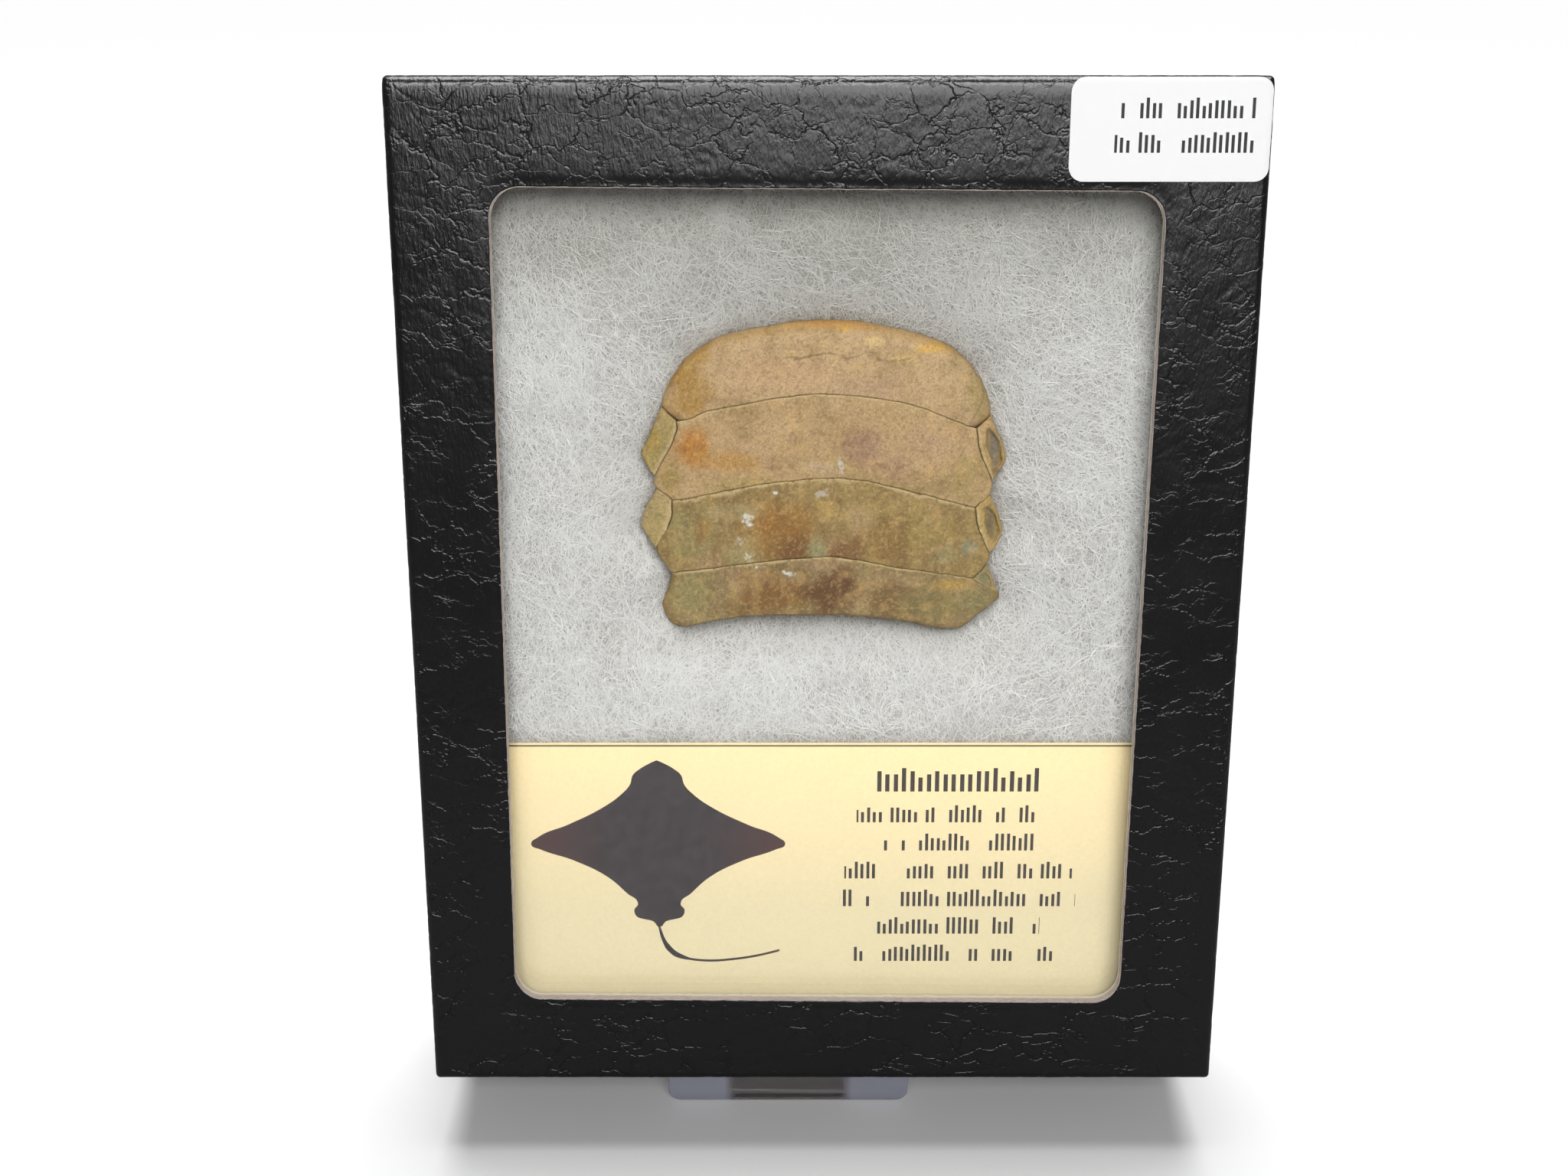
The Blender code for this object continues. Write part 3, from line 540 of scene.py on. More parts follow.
def same_direction(first, second):
    """Whether two sets of faces use a shared edge in the same direction, which closed faces must not."""

    def edges(some):
        """One whole number for each directed edge, from its two point numbers."""
        ahead = np.roll(some, -1, axis=1)
        return some.ravel().astype(np.int64) * 2**31 + ahead.ravel()

    return bool(np.isin(edges(first), edges(second)).any())


def facing_like(walls, cap):
    """A cap's faces, turned round where they run along an edge in the walls' direction."""
    return cap[:, ::-1] if same_direction(walls, cap) else cap


def smooth_line(points, count):
    """A Catmull-Rom curve through the points, cut into equal lengths."""
    points = np.asarray(points, float)
    ends = np.concatenate([[2 * points[0] - points[1]], points, [2 * points[-1] - points[-2]]])
    steps = np.linspace(0, 1, 40, endpoint=False)[:, None]
    pieces = []
    for a, b, c, d in zip(ends, ends[1:], ends[2:], ends[3:]):
        pieces.append(0.5 * (2 * b + (c - a) * steps + (2 * a - 5 * b + 4 * c - d) * steps**2
                             + (3 * b - a - 3 * c + d) * steps**3))
    return even_line(np.concatenate([*pieces, points[-1:]]), count)


def even_line(line, count):
    """The same line as this many points at equal distances along it."""
    length = np.concatenate([[0], np.cumsum(np.linalg.norm(np.diff(line, axis=0), axis=1))])
    even = np.linspace(0, length[-1], count)
    return np.stack([np.interp(even, length, line[:, axis]) for axis in (0, 1)], axis=1)


def blend_of_sides(lower, upper, left, right, across, up):
    """Coons patch: the sum of both ruled blends of opposite sides, less the blend of the corners."""

    def along(line, where):
        """Points of a line at these shares of its length."""
        spots = np.linspace(0, 1, len(line))
        return np.stack([np.interp(where, spots, line[:, axis]) for axis in (0, 1)], axis=1)

    s = across[:, None, None]
    t = up[None, :, None]
    rows = (1 - t) * along(lower, across)[:, None] + t * along(upper, across)[:, None]
    columns = (1 - s) * along(left, up)[None] + s * along(right, up)[None]
    corners = ((1 - s) * (1 - t) * lower[0] + s * (1 - t) * lower[-1]
               + (1 - s) * t * upper[0] + s * t * upper[-1])
    return rows + columns - corners


def quarter_round(distance, radius):
    """How far a border that rolls over with this radius has dropped at a distance inside it."""
    inside = np.clip(radius - distance, 0, radius)
    return radius - np.sqrt(radius**2 - inside**2)


def upright(flat):
    """Points of the plate's drawing (across and up) as three numbers each, at depth 0."""
    return np.insert(flat, 1, 0.0, axis=-1)


def crown_depth(across, up):
    """The chewing surface: a shallow dome, nearest to the glass in its middle."""
    return (PLATE_FRONT + DOME_ACROSS * (across / PLATE_HALF_WIDTH) ** 2
            + DOME_UP * (up / PLATE_HALF_HEIGHT) ** 2)


def distance_to_line(points, line):
    """Distance from each point to the nearest run of an open line."""
    best = np.full(points.shape[:-1], np.inf)
    for a, b in zip(np.asarray(line, float), np.asarray(line[1:], float)):
        run = b - a
        share = np.clip(((points - a) @ run) / (run @ run), 0, 1)
        best = np.minimum(best, np.linalg.norm(points - a - share[..., None] * run, axis=-1))
    return best


def plate_outline():
    """The silhouette of the whole plate, as one closed line."""
    top, bottom = (smooth_line(line, 12)[1:-1] for line in (TOP_LINE, BOTTOM_LINE))
    return np.concatenate([LEFT_SILHOUETTE, top, RIGHT_SILHOUETTE, bottom[::-1]])


def distance_outside(points, outline):
    """Distance from each point to a closed line, negative for a point inside it."""
    closed = np.concatenate([outline, outline[:1]])
    inside = np.zeros(points.shape[:-1], bool)
    for a, b in zip(closed, closed[1:]):
        straddles = (a[1] > points[..., 1]) != (b[1] > points[..., 1])
        rise = b[1] - a[1] or 1e-9
        crossing = a[0] + (points[..., 1] - a[1]) * (b[0] - a[0]) / rise
        inside ^= straddles & (points[..., 0] < crossing)
    return distance_to_line(points, closed) * np.where(inside, -1, 1)


# Stains on the crowns, in the plate's drawing: middle, half width, half height, colour, strength
STAINS = {
    "tooth_median_1": [
        (-18.2, 13.0, 3.4, 6.0, "#98732f", 0.95), (-16.4, 16.6, 2.2, 2.0, "#a58040", 0.8),
        (0.5, 20.6, 8, 0.9, "#bb8848", 0.85), (2.4, 19.9, 1.2, 0.7, "#c89c3c", 0.8),
        (14.2, 17.4, 2.6, 0.8, "#c79b42", 0.85), (-6, 14.0, 8, 3.2, "#b2906c", 0.6),
        (5, 12.4, 9, 1.8, "#a3866a", 0.55), (-13.0, 17.0, 1.4, 1.1, "#8f6a3c", 0.45),
        (9.6, 16.2, 2.2, 1.0, "#c8ab6e", 0.7), (6.2, 18.2, 1.4, 0.7, "#c9ae72", 0.6),
        (20.0, 11.0, 2.2, 5, "#948050", 0.8), (-1.5, 17.4, 3, 0.8, "#9a7a4c", 0.4),
    ],
    "tooth_median_2": [
        (-17.2, 4.4, 3.0, 3.0, "#a87027", 0.95), (-12.6, 3.0, 5.0, 1.7, "#a67c3c", 0.75),
        (-20.4, 0.4, 2.4, 3.0, "#8a7536", 0.8), (-10, -0.4, 7, 1.4, "#93814a", 0.6),
        (5.0, 5.2, 3.2, 3.2, "#8c6b58", 0.7), (9.5, 2.4, 3.0, 2.2, "#957560", 0.45),
        (13.5, 5.6, 4.0, 2.6, "#a5876a", 0.5), (-4, 7.6, 7, 1.8, "#b3966f", 0.45),
        (-0.2, 2.2, 2.7, 1.2, "#b5a084", 0.6), (18.6, 1.0, 3, 3.8, "#97834f", 0.7),
        (-6.8, 2.6, 1.6, 1.2, "#84664a", 0.5), (8.0, -0.8, 5, 1.0, "#8b7a48", 0.5),
    ],
    "tooth_median_3": [
        (-17.5, -7.0, 4.4, 4.0, "#8b8252", 0.7), (-16.2, -6.2, 1.5, 2.0, "#9a7438", 0.7),
        (-11.0, -9.6, 2.6, 1.8, "#8b8458", 0.6), (-5.6, -6.2, 5.6, 4.8, "#8f6420", 0.9),
        (-3.8, -8.6, 2.8, 3.2, "#6a441a", 0.9), (2.6, -9.0, 3.2, 3.4, "#68421e", 0.9),
        (-1.0, -8.6, 1.5, 2.4, "#8c8a62", 0.85), (0.4, -3.6, 2.2, 2.0, "#a0874a", 0.6),
        (8.0, -7.4, 4.4, 3.6, "#82642f", 0.7), (13.5, -6.4, 4.0, 3.0, "#948046", 0.6),
        (19.2, -8.8, 1.7, 1.6, "#7a7e68", 0.95), (16.0, -9.6, 2.4, 1.6, "#86805a", 0.7),
        (9.0, -3.0, 5, 1.4, "#a18a52", 0.5), (-12, -3.8, 4, 1.2, "#a3946a", 0.6),
    ],
    "tooth_median_4": [
        (-17.6, -15.2, 5.0, 4.4, "#837a4c", 0.8), (-8.0, -15.0, 6.2, 4.4, "#75501f", 0.9),
        (-11.6, -17.4, 2.4, 1.8, "#6f5a30", 0.6), (-3.2, -15.4, 1.6, 3.0, "#8a6a34", 0.6),
        (1.6, -14.4, 5.2, 4.4, "#5a3917", 0.95), (8.6, -15.4, 4.2, 4.0, "#6c5329", 0.8),
        (14.2, -16.2, 4.0, 3.2, "#756b40", 0.8), (16.6, -13.8, 3.4, 1.0, "#ab8a3e", 0.85),
        (20.0, -16.4, 3.0, 2.6, "#7c764c", 0.85), (4.6, -17.8, 4, 1.2, "#7f7148", 0.6),
    ],
    "tooth_lateral_left_1": [(-22.6, 5.5, 1.2, 2.0, "#a3873c", 0.7), (-23.6, 3.0, 0.9, 1.4, "#b09550", 0.7)],
    "tooth_lateral_left_2": [
        (-22.6, -4.6, 1.4, 2.6, "#938550", 0.7), (-22.0, -7.6, 0.9, 1.2, "#a8924e", 0.6),
    ],
    "tooth_lateral_right_1": [(22.3, 3.9, 0.75, 2.9, "#69655a", 1.0), (22.6, 1.4, 0.8, 0.7, "#5f4c34", 0.7)],
    "tooth_lateral_right_2": [(22.0, -5.8, 0.8, 3.0, "#6a5a3e", 1.0)],
    "tooth_lateral_right_3": [(21.2, -12.9, 1.2, 2.0, "#807c58", 0.9)],
}
# Each crown's own colour, under its stains
GROUND_COLOURS = {
    "tooth_median_1": "#ae936c", "tooth_median_2": "#a78b62", "tooth_median_3": "#877041",
    "tooth_median_4": "#86724c", "tooth_lateral_left_1": "#90804a", "tooth_lateral_left_2": "#968858",
    "tooth_lateral_right_1": "#a2864e", "tooth_lateral_right_2": "#a3894f",
    "tooth_lateral_right_3": "#98875a",
}
# The mean width of the sandy lip along a tooth's upper seam
LIP_WIDTHS = {"tooth_median_2": 0.35, "tooth_median_3": 0.55, "tooth_median_4": 0.28}
# Chalky marks: middle, half width, half height, strength
CHALK = [
    (-10.2, -4.7, 0.75, 1.2, 1.0), (-6.5, -1.3, 0.3, 0.35, 1.0), (-0.5, -1.2, 0.7, 0.6, 0.5),
    (-11.4, -7.8, 0.8, 0.7, 0.5), (-9.8, -9.8, 0.8, 0.6, 0.8), (-4.9, -11.9, 0.7, 0.35, 0.9),
    (-8.9, -11.2, 0.3, 0.2, 0.8), (2.0, 2.4, 0.4, 0.7, 0.6), (-4.6, -5.3, 0.14, 0.14, 0.9),
]
# Two fine cracks in the topmost tooth
TOP_CRACK = [
    (-6.0, 15.7), (-4.6, 16.4), (-3.3, 16.1), (-1.2, 16.6), (0.6, 16.8), (2.0, 16.6), (2.7, 16.1),
    (4.0, 16.4), (5.0, 16.85), (6.3, 16.9), (6.8, 15.9), (8.8, 15.8), (10.9, 16.1),
]
SIDE_CRACK = [(20.9, 12.6), (20.5, 10.5), (19.4, 8.4)]


def blob(flat, middle_across, middle_up, half_width, half_height, ragged):
    """1 in the middle of a ragged oval, 0 outside it: 1 - r + noise, eased, for the oval's own radius r."""
    far = np.hypot((flat[..., 0] - middle_across) / half_width, (flat[..., 1] - middle_up) / half_height)
    return eased(1.15 - far + ragged, 0.0, 0.85)


def fossil_tint(name, flat, drop, lip, hollow):
    """Linear colour of each point of a crown.

    Ground colour, soft mottling, stains, bands, the sandy lip and chalk marks.
    """
    spots = upright(flat)
    ragged = 0.3 * noise(spots, 2.4, 51, 4)
    torn = 0.8 * noise(spots, 0.55, 50, 2)
    colour = np.broadcast_to(srgb(GROUND_COLOURS[name]), (*flat.shape[:-1], 3)).copy()

    def lay(mask, text):
        """Covers the colour so far with another, by the mask."""
        nonlocal colour
        colour = colour + mask[..., None] * (srgb(text) - colour)

    lay(0.45 * eased(noise(spots, 5.0, 52, 3), -0.1, 0.8), "#b09370")
    lay(0.40 * eased(noise(spots, 3.4, 53, 3), 0.0, 0.9), "#7a6434")
    for across, up, half_width, half_height, text, strength in STAINS[name]:
        lay(strength * blob(flat, across, up, half_width, half_height, ragged), text)
    if name in ("tooth_median_3", "tooth_median_4"):
        columns = noise(spots * np.array([1.0, 1.0, 0.16]), 1.5, 54, 2)
        lay(0.3 * eased(columns, 0.0, 0.8), "#5c4420")
        lay(0.28 * eased(-columns, 0.1, 0.8), "#a08a52")
    lay(0.25 * eased(noise(spots, 0.3, 55, 2), 0.05, 0.9), "#cdb07c")
    lay(0.35 * eased(noise(spots, 0.3, 56, 2), 0.1, 0.9), "#5e4520")
    lay(0.25 * eased(noise(spots, 1.1, 58, 3), 0.25, 1.0), "#6f5426")
    lay(0.25 * eased(noise(spots, 1.5, 59, 3), 0.25, 1.0), "#c8a468")
    lay(0.75 * hollow, "#6b604a")
    lay(0.8 * lip, "#b7a276")
    crumbled = eased(noise(spots, 0.3, 57, 2), -0.9, 0.1)
    for across, up, half_width, half_height, strength in CHALK:
        lay(strength * blob(flat, across, up, half_width, half_height, torn) * crumbled, "#c9c6ba")
    if name == "tooth_median_1":
        lay(0.5 * (1 - eased(distance_to_line(flat, TOP_CRACK) + 0.15 * torn, 0.02, 0.22)), "#5e4824")
        lay(0.4 * (1 - eased(distance_to_line(flat, SIDE_CRACK), 0.05, 0.35)), "#6b5a2c")
    lay(0.35 * eased(drop, 0.12, 0.9) * (1 - lip), "#a8813c")
    return colour


def make_tooth(name, enamel):
    """A Coons patch between four borders, domed, rolled over and worn, with a wall down to its grooved root.

    Depth = dome + rolled borders + hollow - relief, where the relief is the sandy grain, pits and cracks.
    """
    tooth = TEETH[name]
    median = "median" in name
    spacing = 0.125 if median else 0.11
    half_seam = 0.02
    width = np.linalg.norm(np.subtract(tooth["upper"][-1], tooth["upper"][0])
                           + np.subtract(tooth["lower"][-1], tooth["lower"][0])) / 2
    height = np.linalg.norm(np.mean(tooth["upper"], axis=0) - np.mean(tooth["lower"], axis=0))
    columns, rows = (max(int(size / spacing), 14) for size in (width, height))
    lower, upper = (smooth_line(tooth[side], columns) for side in ("lower", "upper"))
    left, right = (smooth_line(tooth[side], rows) for side in ("left", "right"))
    s = np.linspace(half_seam / width, 1 - half_seam / width, columns)
    t = np.linspace(half_seam / height, 1 - half_seam / height, rows)
    flat = blend_of_sides(lower, upper, left, right, s, t)
    spots = upright(flat)
    flat = flat + 0.07 * np.stack([noise(spots, 1.1, 61, 2), noise(spots, 1.1, 63, 2)], axis=-1)

    # The borders' drop, the right side teeth's hollow, and the sandy lip along the seams
    from_lower, from_upper = (t - t[0])[None, :] * height, (t[-1] - t)[None, :] * height
    from_left, from_right = (s - s[0])[:, None] * width, (s[-1] - s)[:, None] * width
    rolls = tooth["rolls"]
    drop = (quarter_round(from_lower, rolls[0]) + quarter_round(from_upper, rolls[1])
            + quarter_round(from_left, rolls[2]) + quarter_round(from_right, rolls[3]))
    hollow = np.zeros_like(drop)
    if "right" in name:
        lens = 1 - 3.2 * (2 * s - 1.16)[:, None] ** 2 - 1.7 * (2 * t - 1)[None, :] ** 2
        hollow = eased(lens, 0.0, 0.4) * (0.3 if name.endswith("3") else 0.6)
    lip = np.zeros_like(drop)
    if name in LIP_WIDTHS:
        lip_width = LIP_WIDTHS[name] * (1 + 0.9 * noise(spots, 1.4, 65, 2))
        lip = 1 - eased(
            np.broadcast_to(from_upper, drop.shape), 0.25 * lip_width, np.maximum(lip_width, 0.1) + 0.05)
        lip = lip * eased(noise(spots, 0.35, 66, 2), -0.9, -0.1)
    if not median:
        inner = from_right if "left" in name else from_left
        lip = np.maximum(lip, 1 - eased(np.broadcast_to(inner, drop.shape), 0.1, 0.4))

    # The worn surface: pits, grain, chalk and cracks
    pits_near, _ = two_nearest(spots, 0.9, 71)
    pits = (1 - eased(pits_near, 0.05, 0.2)) * eased(noise(spots, 3.0, 72, 2), 0.0, 0.5)
    grain = 0.5 * noise(spots, 0.45, 73, 2)
    relief = 0.1 * noise(spots, 5.5, 74, 3) + 0.03 * grain - 0.07 * pits
    relief = relief + lip * (0.05 + 0.09 * noise(spots, 0.32, 75, 2))
    for across, up, half_width, half_height, strength in CHALK:
        relief = relief + 0.05 * strength * blob(flat, across, up, half_width, half_height, 0.4 * grain)
    if name == "tooth_median_1":
        broken = eased(noise(spots, 1.3, 68, 2), -0.5, 0.1)
        relief = relief - 0.12 * (1 - eased(distance_to_line(flat, TOP_CRACK), 0.02, 0.2)) * broken
        relief = relief - 0.12 * (1 - eased(distance_to_line(flat, SIDE_CRACK), 0.04, 0.3))
    depth = crown_depth(flat[..., 0], flat[..., 1]) + drop + hollow - relief
    depth = np.maximum(depth, PLATE_FRONT - 0.25)

    tint = fossil_tint(name, flat, drop, lip, hollow)
    # The grooved root, and the walls down to it
    lobes = 12 if median else 2
    groove = np.abs((s * 2 * lobes) % 2 - 1)[:, None] * 1.6
    root = np.broadcast_to(PLATE_BACK - groove, depth.shape) - 0.3 * np.abs(noise(spots, 1.2, 76, 2))
    crown = np.stack([flat[..., 0], depth, flat[..., 1] + PLATE_MIDDLE], axis=-1).reshape(-1, 3)
    under = np.stack([flat[..., 0], root, flat[..., 1] + PLATE_MIDDLE], axis=-1).reshape(-1, 3)
    index = np.arange(depth.size).reshape(depth.shape)
    rim = rim_of(index)
    steps = np.array([0.06, 0.2, 0.45, 0.75])[:, None, None]
    walls = crown[rim] + steps * (under[rim] - crown[rim])
    wall_index = numbers(walls, 2 * depth.size)
    joined = np.concatenate([rim[None], wall_index, rim[None] + depth.size])
    faces = [grid_faces(index), grid_faces(index[::-1] + depth.size), grid_faces(joined, wrap=True)]
    faces[2] = facing_like(faces[0], faces[2])
    tint = tint.reshape(-1, 3)
    # Painted shade: the walls at 0.85 and the underside at 0.6 of the crown's colour
    wall_tint_painted_shade, under_tint_painted_shade = 0.85 * tint[rim], 0.6 * tint
    tints = np.concatenate([tint, under_tint_painted_shade, np.tile(wall_tint_painted_shade, (len(walls), 1))])
    points = np.concatenate([crown, under, walls.reshape(-1, 3)])
    add_piece(f"{name}_worn", to_world(points), faces, [enamel], replaces=[name], tint=tints,
              sharp=60)


def batting_depth(flat):
    """Depth of the batting's face: against the glass, sunk round the plate, pressed flat behind the card."""
    away = distance_outside(flat, plate_outline())
    rise = 1 - (1 - np.clip(away / BATTING_SLOPE, 0, 1)) ** 2
    depth = BATTING_AT_PLATE + (TRAY_FRONT - BATTING_AT_PLATE) * rise
    spots = upright(flat)
    lumps = 0.5 + 0.5 * noise(spots, 7.0, 81, 3)
    depth = depth + 0.75 * np.clip(lumps, 0, 1.2)
    card = eased(flat[..., 1] + PLATE_MIDDLE, CARD_TOP + 0.2, CARD_TOP + 2.5)
    depth = np.maximum(depth, BATTING_UNDER_CARD + 0.05 - 0.7 * card)
    return depth + (13.6 - depth) * eased(-away, 0.15, 1.1)


def make_batting(wadding):
    """The pad: a grid over its face, with walls down to its flat back."""
    half_width, half_height = TRAY_HALF_WIDTH - TRAY_WALL - FIT, TRAY_HALF_HEIGHT - TRAY_WALL - FIT
    across, up = np.meshgrid(np.linspace(-half_width, half_width, 230),
                             np.linspace(-half_height, half_height, 290), indexing="ij")
    up = up + BOX_HEIGHT / 2
    flat = np.stack([across, up - PLATE_MIDDLE], axis=-1)
    face = np.stack([across, batting_depth(flat), up], axis=-1).reshape(-1, 3)
    index = np.arange(across.size).reshape(across.shape)
    rim = rim_of(index)
    walls = np.array([face[rim] for _ in range(3)])
    walls[:, :, 1] = np.array([10, 16, BOX_DEPTH - TRAY_WALL - FIT])[:, None]
    wall_index = numbers(walls, across.size)
    joined = np.concatenate([rim[None], wall_index])
    faces = [grid_faces(index), grid_faces(joined, wrap=True), wall_index[-1][None]]
    faces[1] = facing_like(faces[0], faces[1])
    faces[2] = facing_like(faces[1], faces[2])
    pad = add_piece("batting_pad", to_world(np.concatenate([face, walls.reshape(-1, 3)])), faces, [wadding],
                    replaces=["fibre_batting"], sharp=60)


def make_fibres(name, count, seed, fibre, thick):
    """Loose fibres on the batting: three-sided tubes, each along an arc whose heading turns by its own bend.

    A fibre's heading at a share s of its length is start + bend s, and its place is the sum of the headings.
    """
    rng = np.random.default_rng(seed)
    joints, spare = 6, 5
    middle = np.stack([rng.uniform(-42, 42, count * spare), rng.uniform(-37, 39, count * spare)], axis=1)
    middle = middle[distance_outside(middle, plate_outline()) > 0.2]
    middle = middle[middle[:, 1] + PLATE_MIDDLE > CARD_TOP + 0.6]
    tuft = noise(upright(middle), 7.0, 92, 3)
    middle = middle[tuft > rng.uniform(-1.5, 0.5, len(middle))][:count]
    count = len(middle)
    length = rng.gamma(4.0, 1.5, count) + 1.5
    spots = np.stack([middle[:, 0], np.full(count, float(seed)), middle[:, 1]], axis=1)
    comb = 1.3 * noise(spots, 14.0, 91, 2)
    start = math.pi / 2 + comb + rng.normal(0, 0.75, count)
    bend = rng.normal(0, 2.0, count)
    share = np.linspace(-0.5, 0.5, joints)
    heading = start[:, None] + bend[:, None] * share + 0.25 * rng.normal(0, 1, (count, joints))
    step = np.stack([np.cos(heading), np.sin(heading)], axis=-1) * (length / joints)[:, None, None]
    flat = middle[:, None] + np.cumsum(step, axis=1) - np.mean(np.cumsum(step, axis=1), axis=1, keepdims=True)
    surface = np.maximum(batting_depth(flat), GLASS_BACK + 0.25)
    over_plate = distance_outside(flat, plate_outline()) < 0.1
    surface = np.where(over_plate, BATTING_AT_PLATE + 0.6, surface)
    lift = rng.uniform(-0.02, 0.3, (count, 1)) + 0.1 * rng.uniform(-1, 1, (count, joints))
    depth = np.maximum(surface - lift, GLASS_BACK + 0.1)
    spine = np.stack([flat[..., 0], depth, flat[..., 1] + PLATE_MIDDLE], axis=-1)
    side = np.stack([-np.sin(heading), np.zeros_like(heading), np.cos(heading)], axis=-1)
    out = np.broadcast_to(np.array([0.0, -1.0, 0.0]), side.shape)
    taper = thick * np.array([0.45, 0.9, 1.0, 1.0, 0.9, 0.45])[None, :, None]
    width = taper * rng.uniform(0.7, 1.3, (count, 1, 1))
    corners = [spine + side * width, spine + out * width * 1.1, spine - side * width]
    tubes = np.stack(corners, axis=2)
    index = np.arange(count * joints * 3).reshape(count, joints, 3)
    after = np.roll(index, -1, axis=2)
    walls = np.stack([index[:, :-1], index[:, 1:], after[:, 1:], after[:, :-1]], axis=-1).reshape(-1, 4)
    caps = np.concatenate([index[:, 0], index[:, -1, ::-1]])
    caps = facing_like(walls, caps)
    add_piece(name, to_world(tubes.reshape(-1, 3)), [walls, caps], [fibre], sharp=180)


def make_sticker(paper):
    """A label over the box's corner: a grid in its rounded outline, bent down where the lid's edge turns."""
    sides, corner = (80, 36), 10
    shares = np.linspace(0, 1, 34)[1:] ** 0.7
    rings = []
    for share in shares:
        rings.append(ring_at(rounded_outline(STICKER_WIDTH / 2 * share, STICKER_HEIGHT / 2 * share,
                                             STICKER_RADIUS * share, sides, corner), 0, STICKER_MIDDLE))
    grid = np.array(rings)

    def over_edge(half, where):
        """How far the lid's rounded edge has dropped where this far from the middle."""
        past = np.clip(np.abs(where) - (half - LID_EDGE_RADIUS), 0, LID_EDGE_RADIUS - 0.01)
        return LID_EDGE_RADIUS - np.sqrt(LID_EDGE_RADIUS**2 - past**2)

    bent = over_edge(BOX_WIDTH / 2, grid[..., 0]) + over_edge(BOX_HEIGHT / 2, grid[..., 2] - BOX_HEIGHT / 2)
    bubbles = 0.05 * np.clip(noise(grid, 3.2, 95, 2), 0, 1)
    front, back = grid.copy(), grid.copy()
    paper_face, glue_face = -0.14, -0.02
    front[..., 1] = bent + paper_face - bubbles
    back[..., 1] = bent + glue_face
    count = grid[..., 0].size
    index = numbers(grid)
    middles = np.array([[STICKER_MIDDLE[0], level, STICKER_MIDDLE[1]]
                        for level in (front[0, :, 1].mean(), glue_face)])
    points = np.concatenate([front.reshape(-1, 3), back.reshape(-1, 3), middles])
    around = np.roll(index[0], -1)
    fan = np.stack([np.full(len(around), 2 * count), index[0], around], axis=1)
    back_fan = np.stack([np.full(len(around), 2 * count + 1), around + count, index[0] + count], axis=1)
    faces = [grid_faces(index, wrap=True)[:, ::-1], grid_faces(index + count, wrap=True),
             grid_faces(np.stack([index[-1], index[-1] + count]), wrap=True), fan, back_fan]
    for cap, walls in ((2, 0), (3, 0), (4, 1)):
        faces[cap] = facing_like(faces[walls], faces[cap])
    add_piece("corner_sticker", to_world(points), faces, [paper], replaces=["sticker"],
              sharp=50)


def filleted_path(knots, radii, per_bend):
    """A line through the knots with each inner knot rounded to its radius."""
    path = [np.array(knots[0])]
    for before, knot, after, radius in zip(knots, knots[1:], knots[2:], radii):
        before, knot, after = np.array(before), np.array(knot), np.array(after)
        back = (before - knot) / np.linalg.norm(before - knot)
        on = (after - knot) / np.linalg.norm(after - knot)
        half = math.acos(np.clip(back @ on, -1, 1)) / 2
        centre = knot + (back + on) / np.linalg.norm(back + on) * radius / math.sin(half)
        start = knot + back * radius / math.tan(half) - centre
        end = knot + on * radius / math.tan(half) - centre
        sweep = math.pi - 2 * half
        for step in range(per_bend + 1):
            share = step / per_bend
            mixed = math.sin((1 - share) * sweep) * start + math.sin(share * sweep) * end
            path.append(centre + mixed / math.sin(sweep))
    path.append(np.array(knots[-1]))
    return np.array(path)


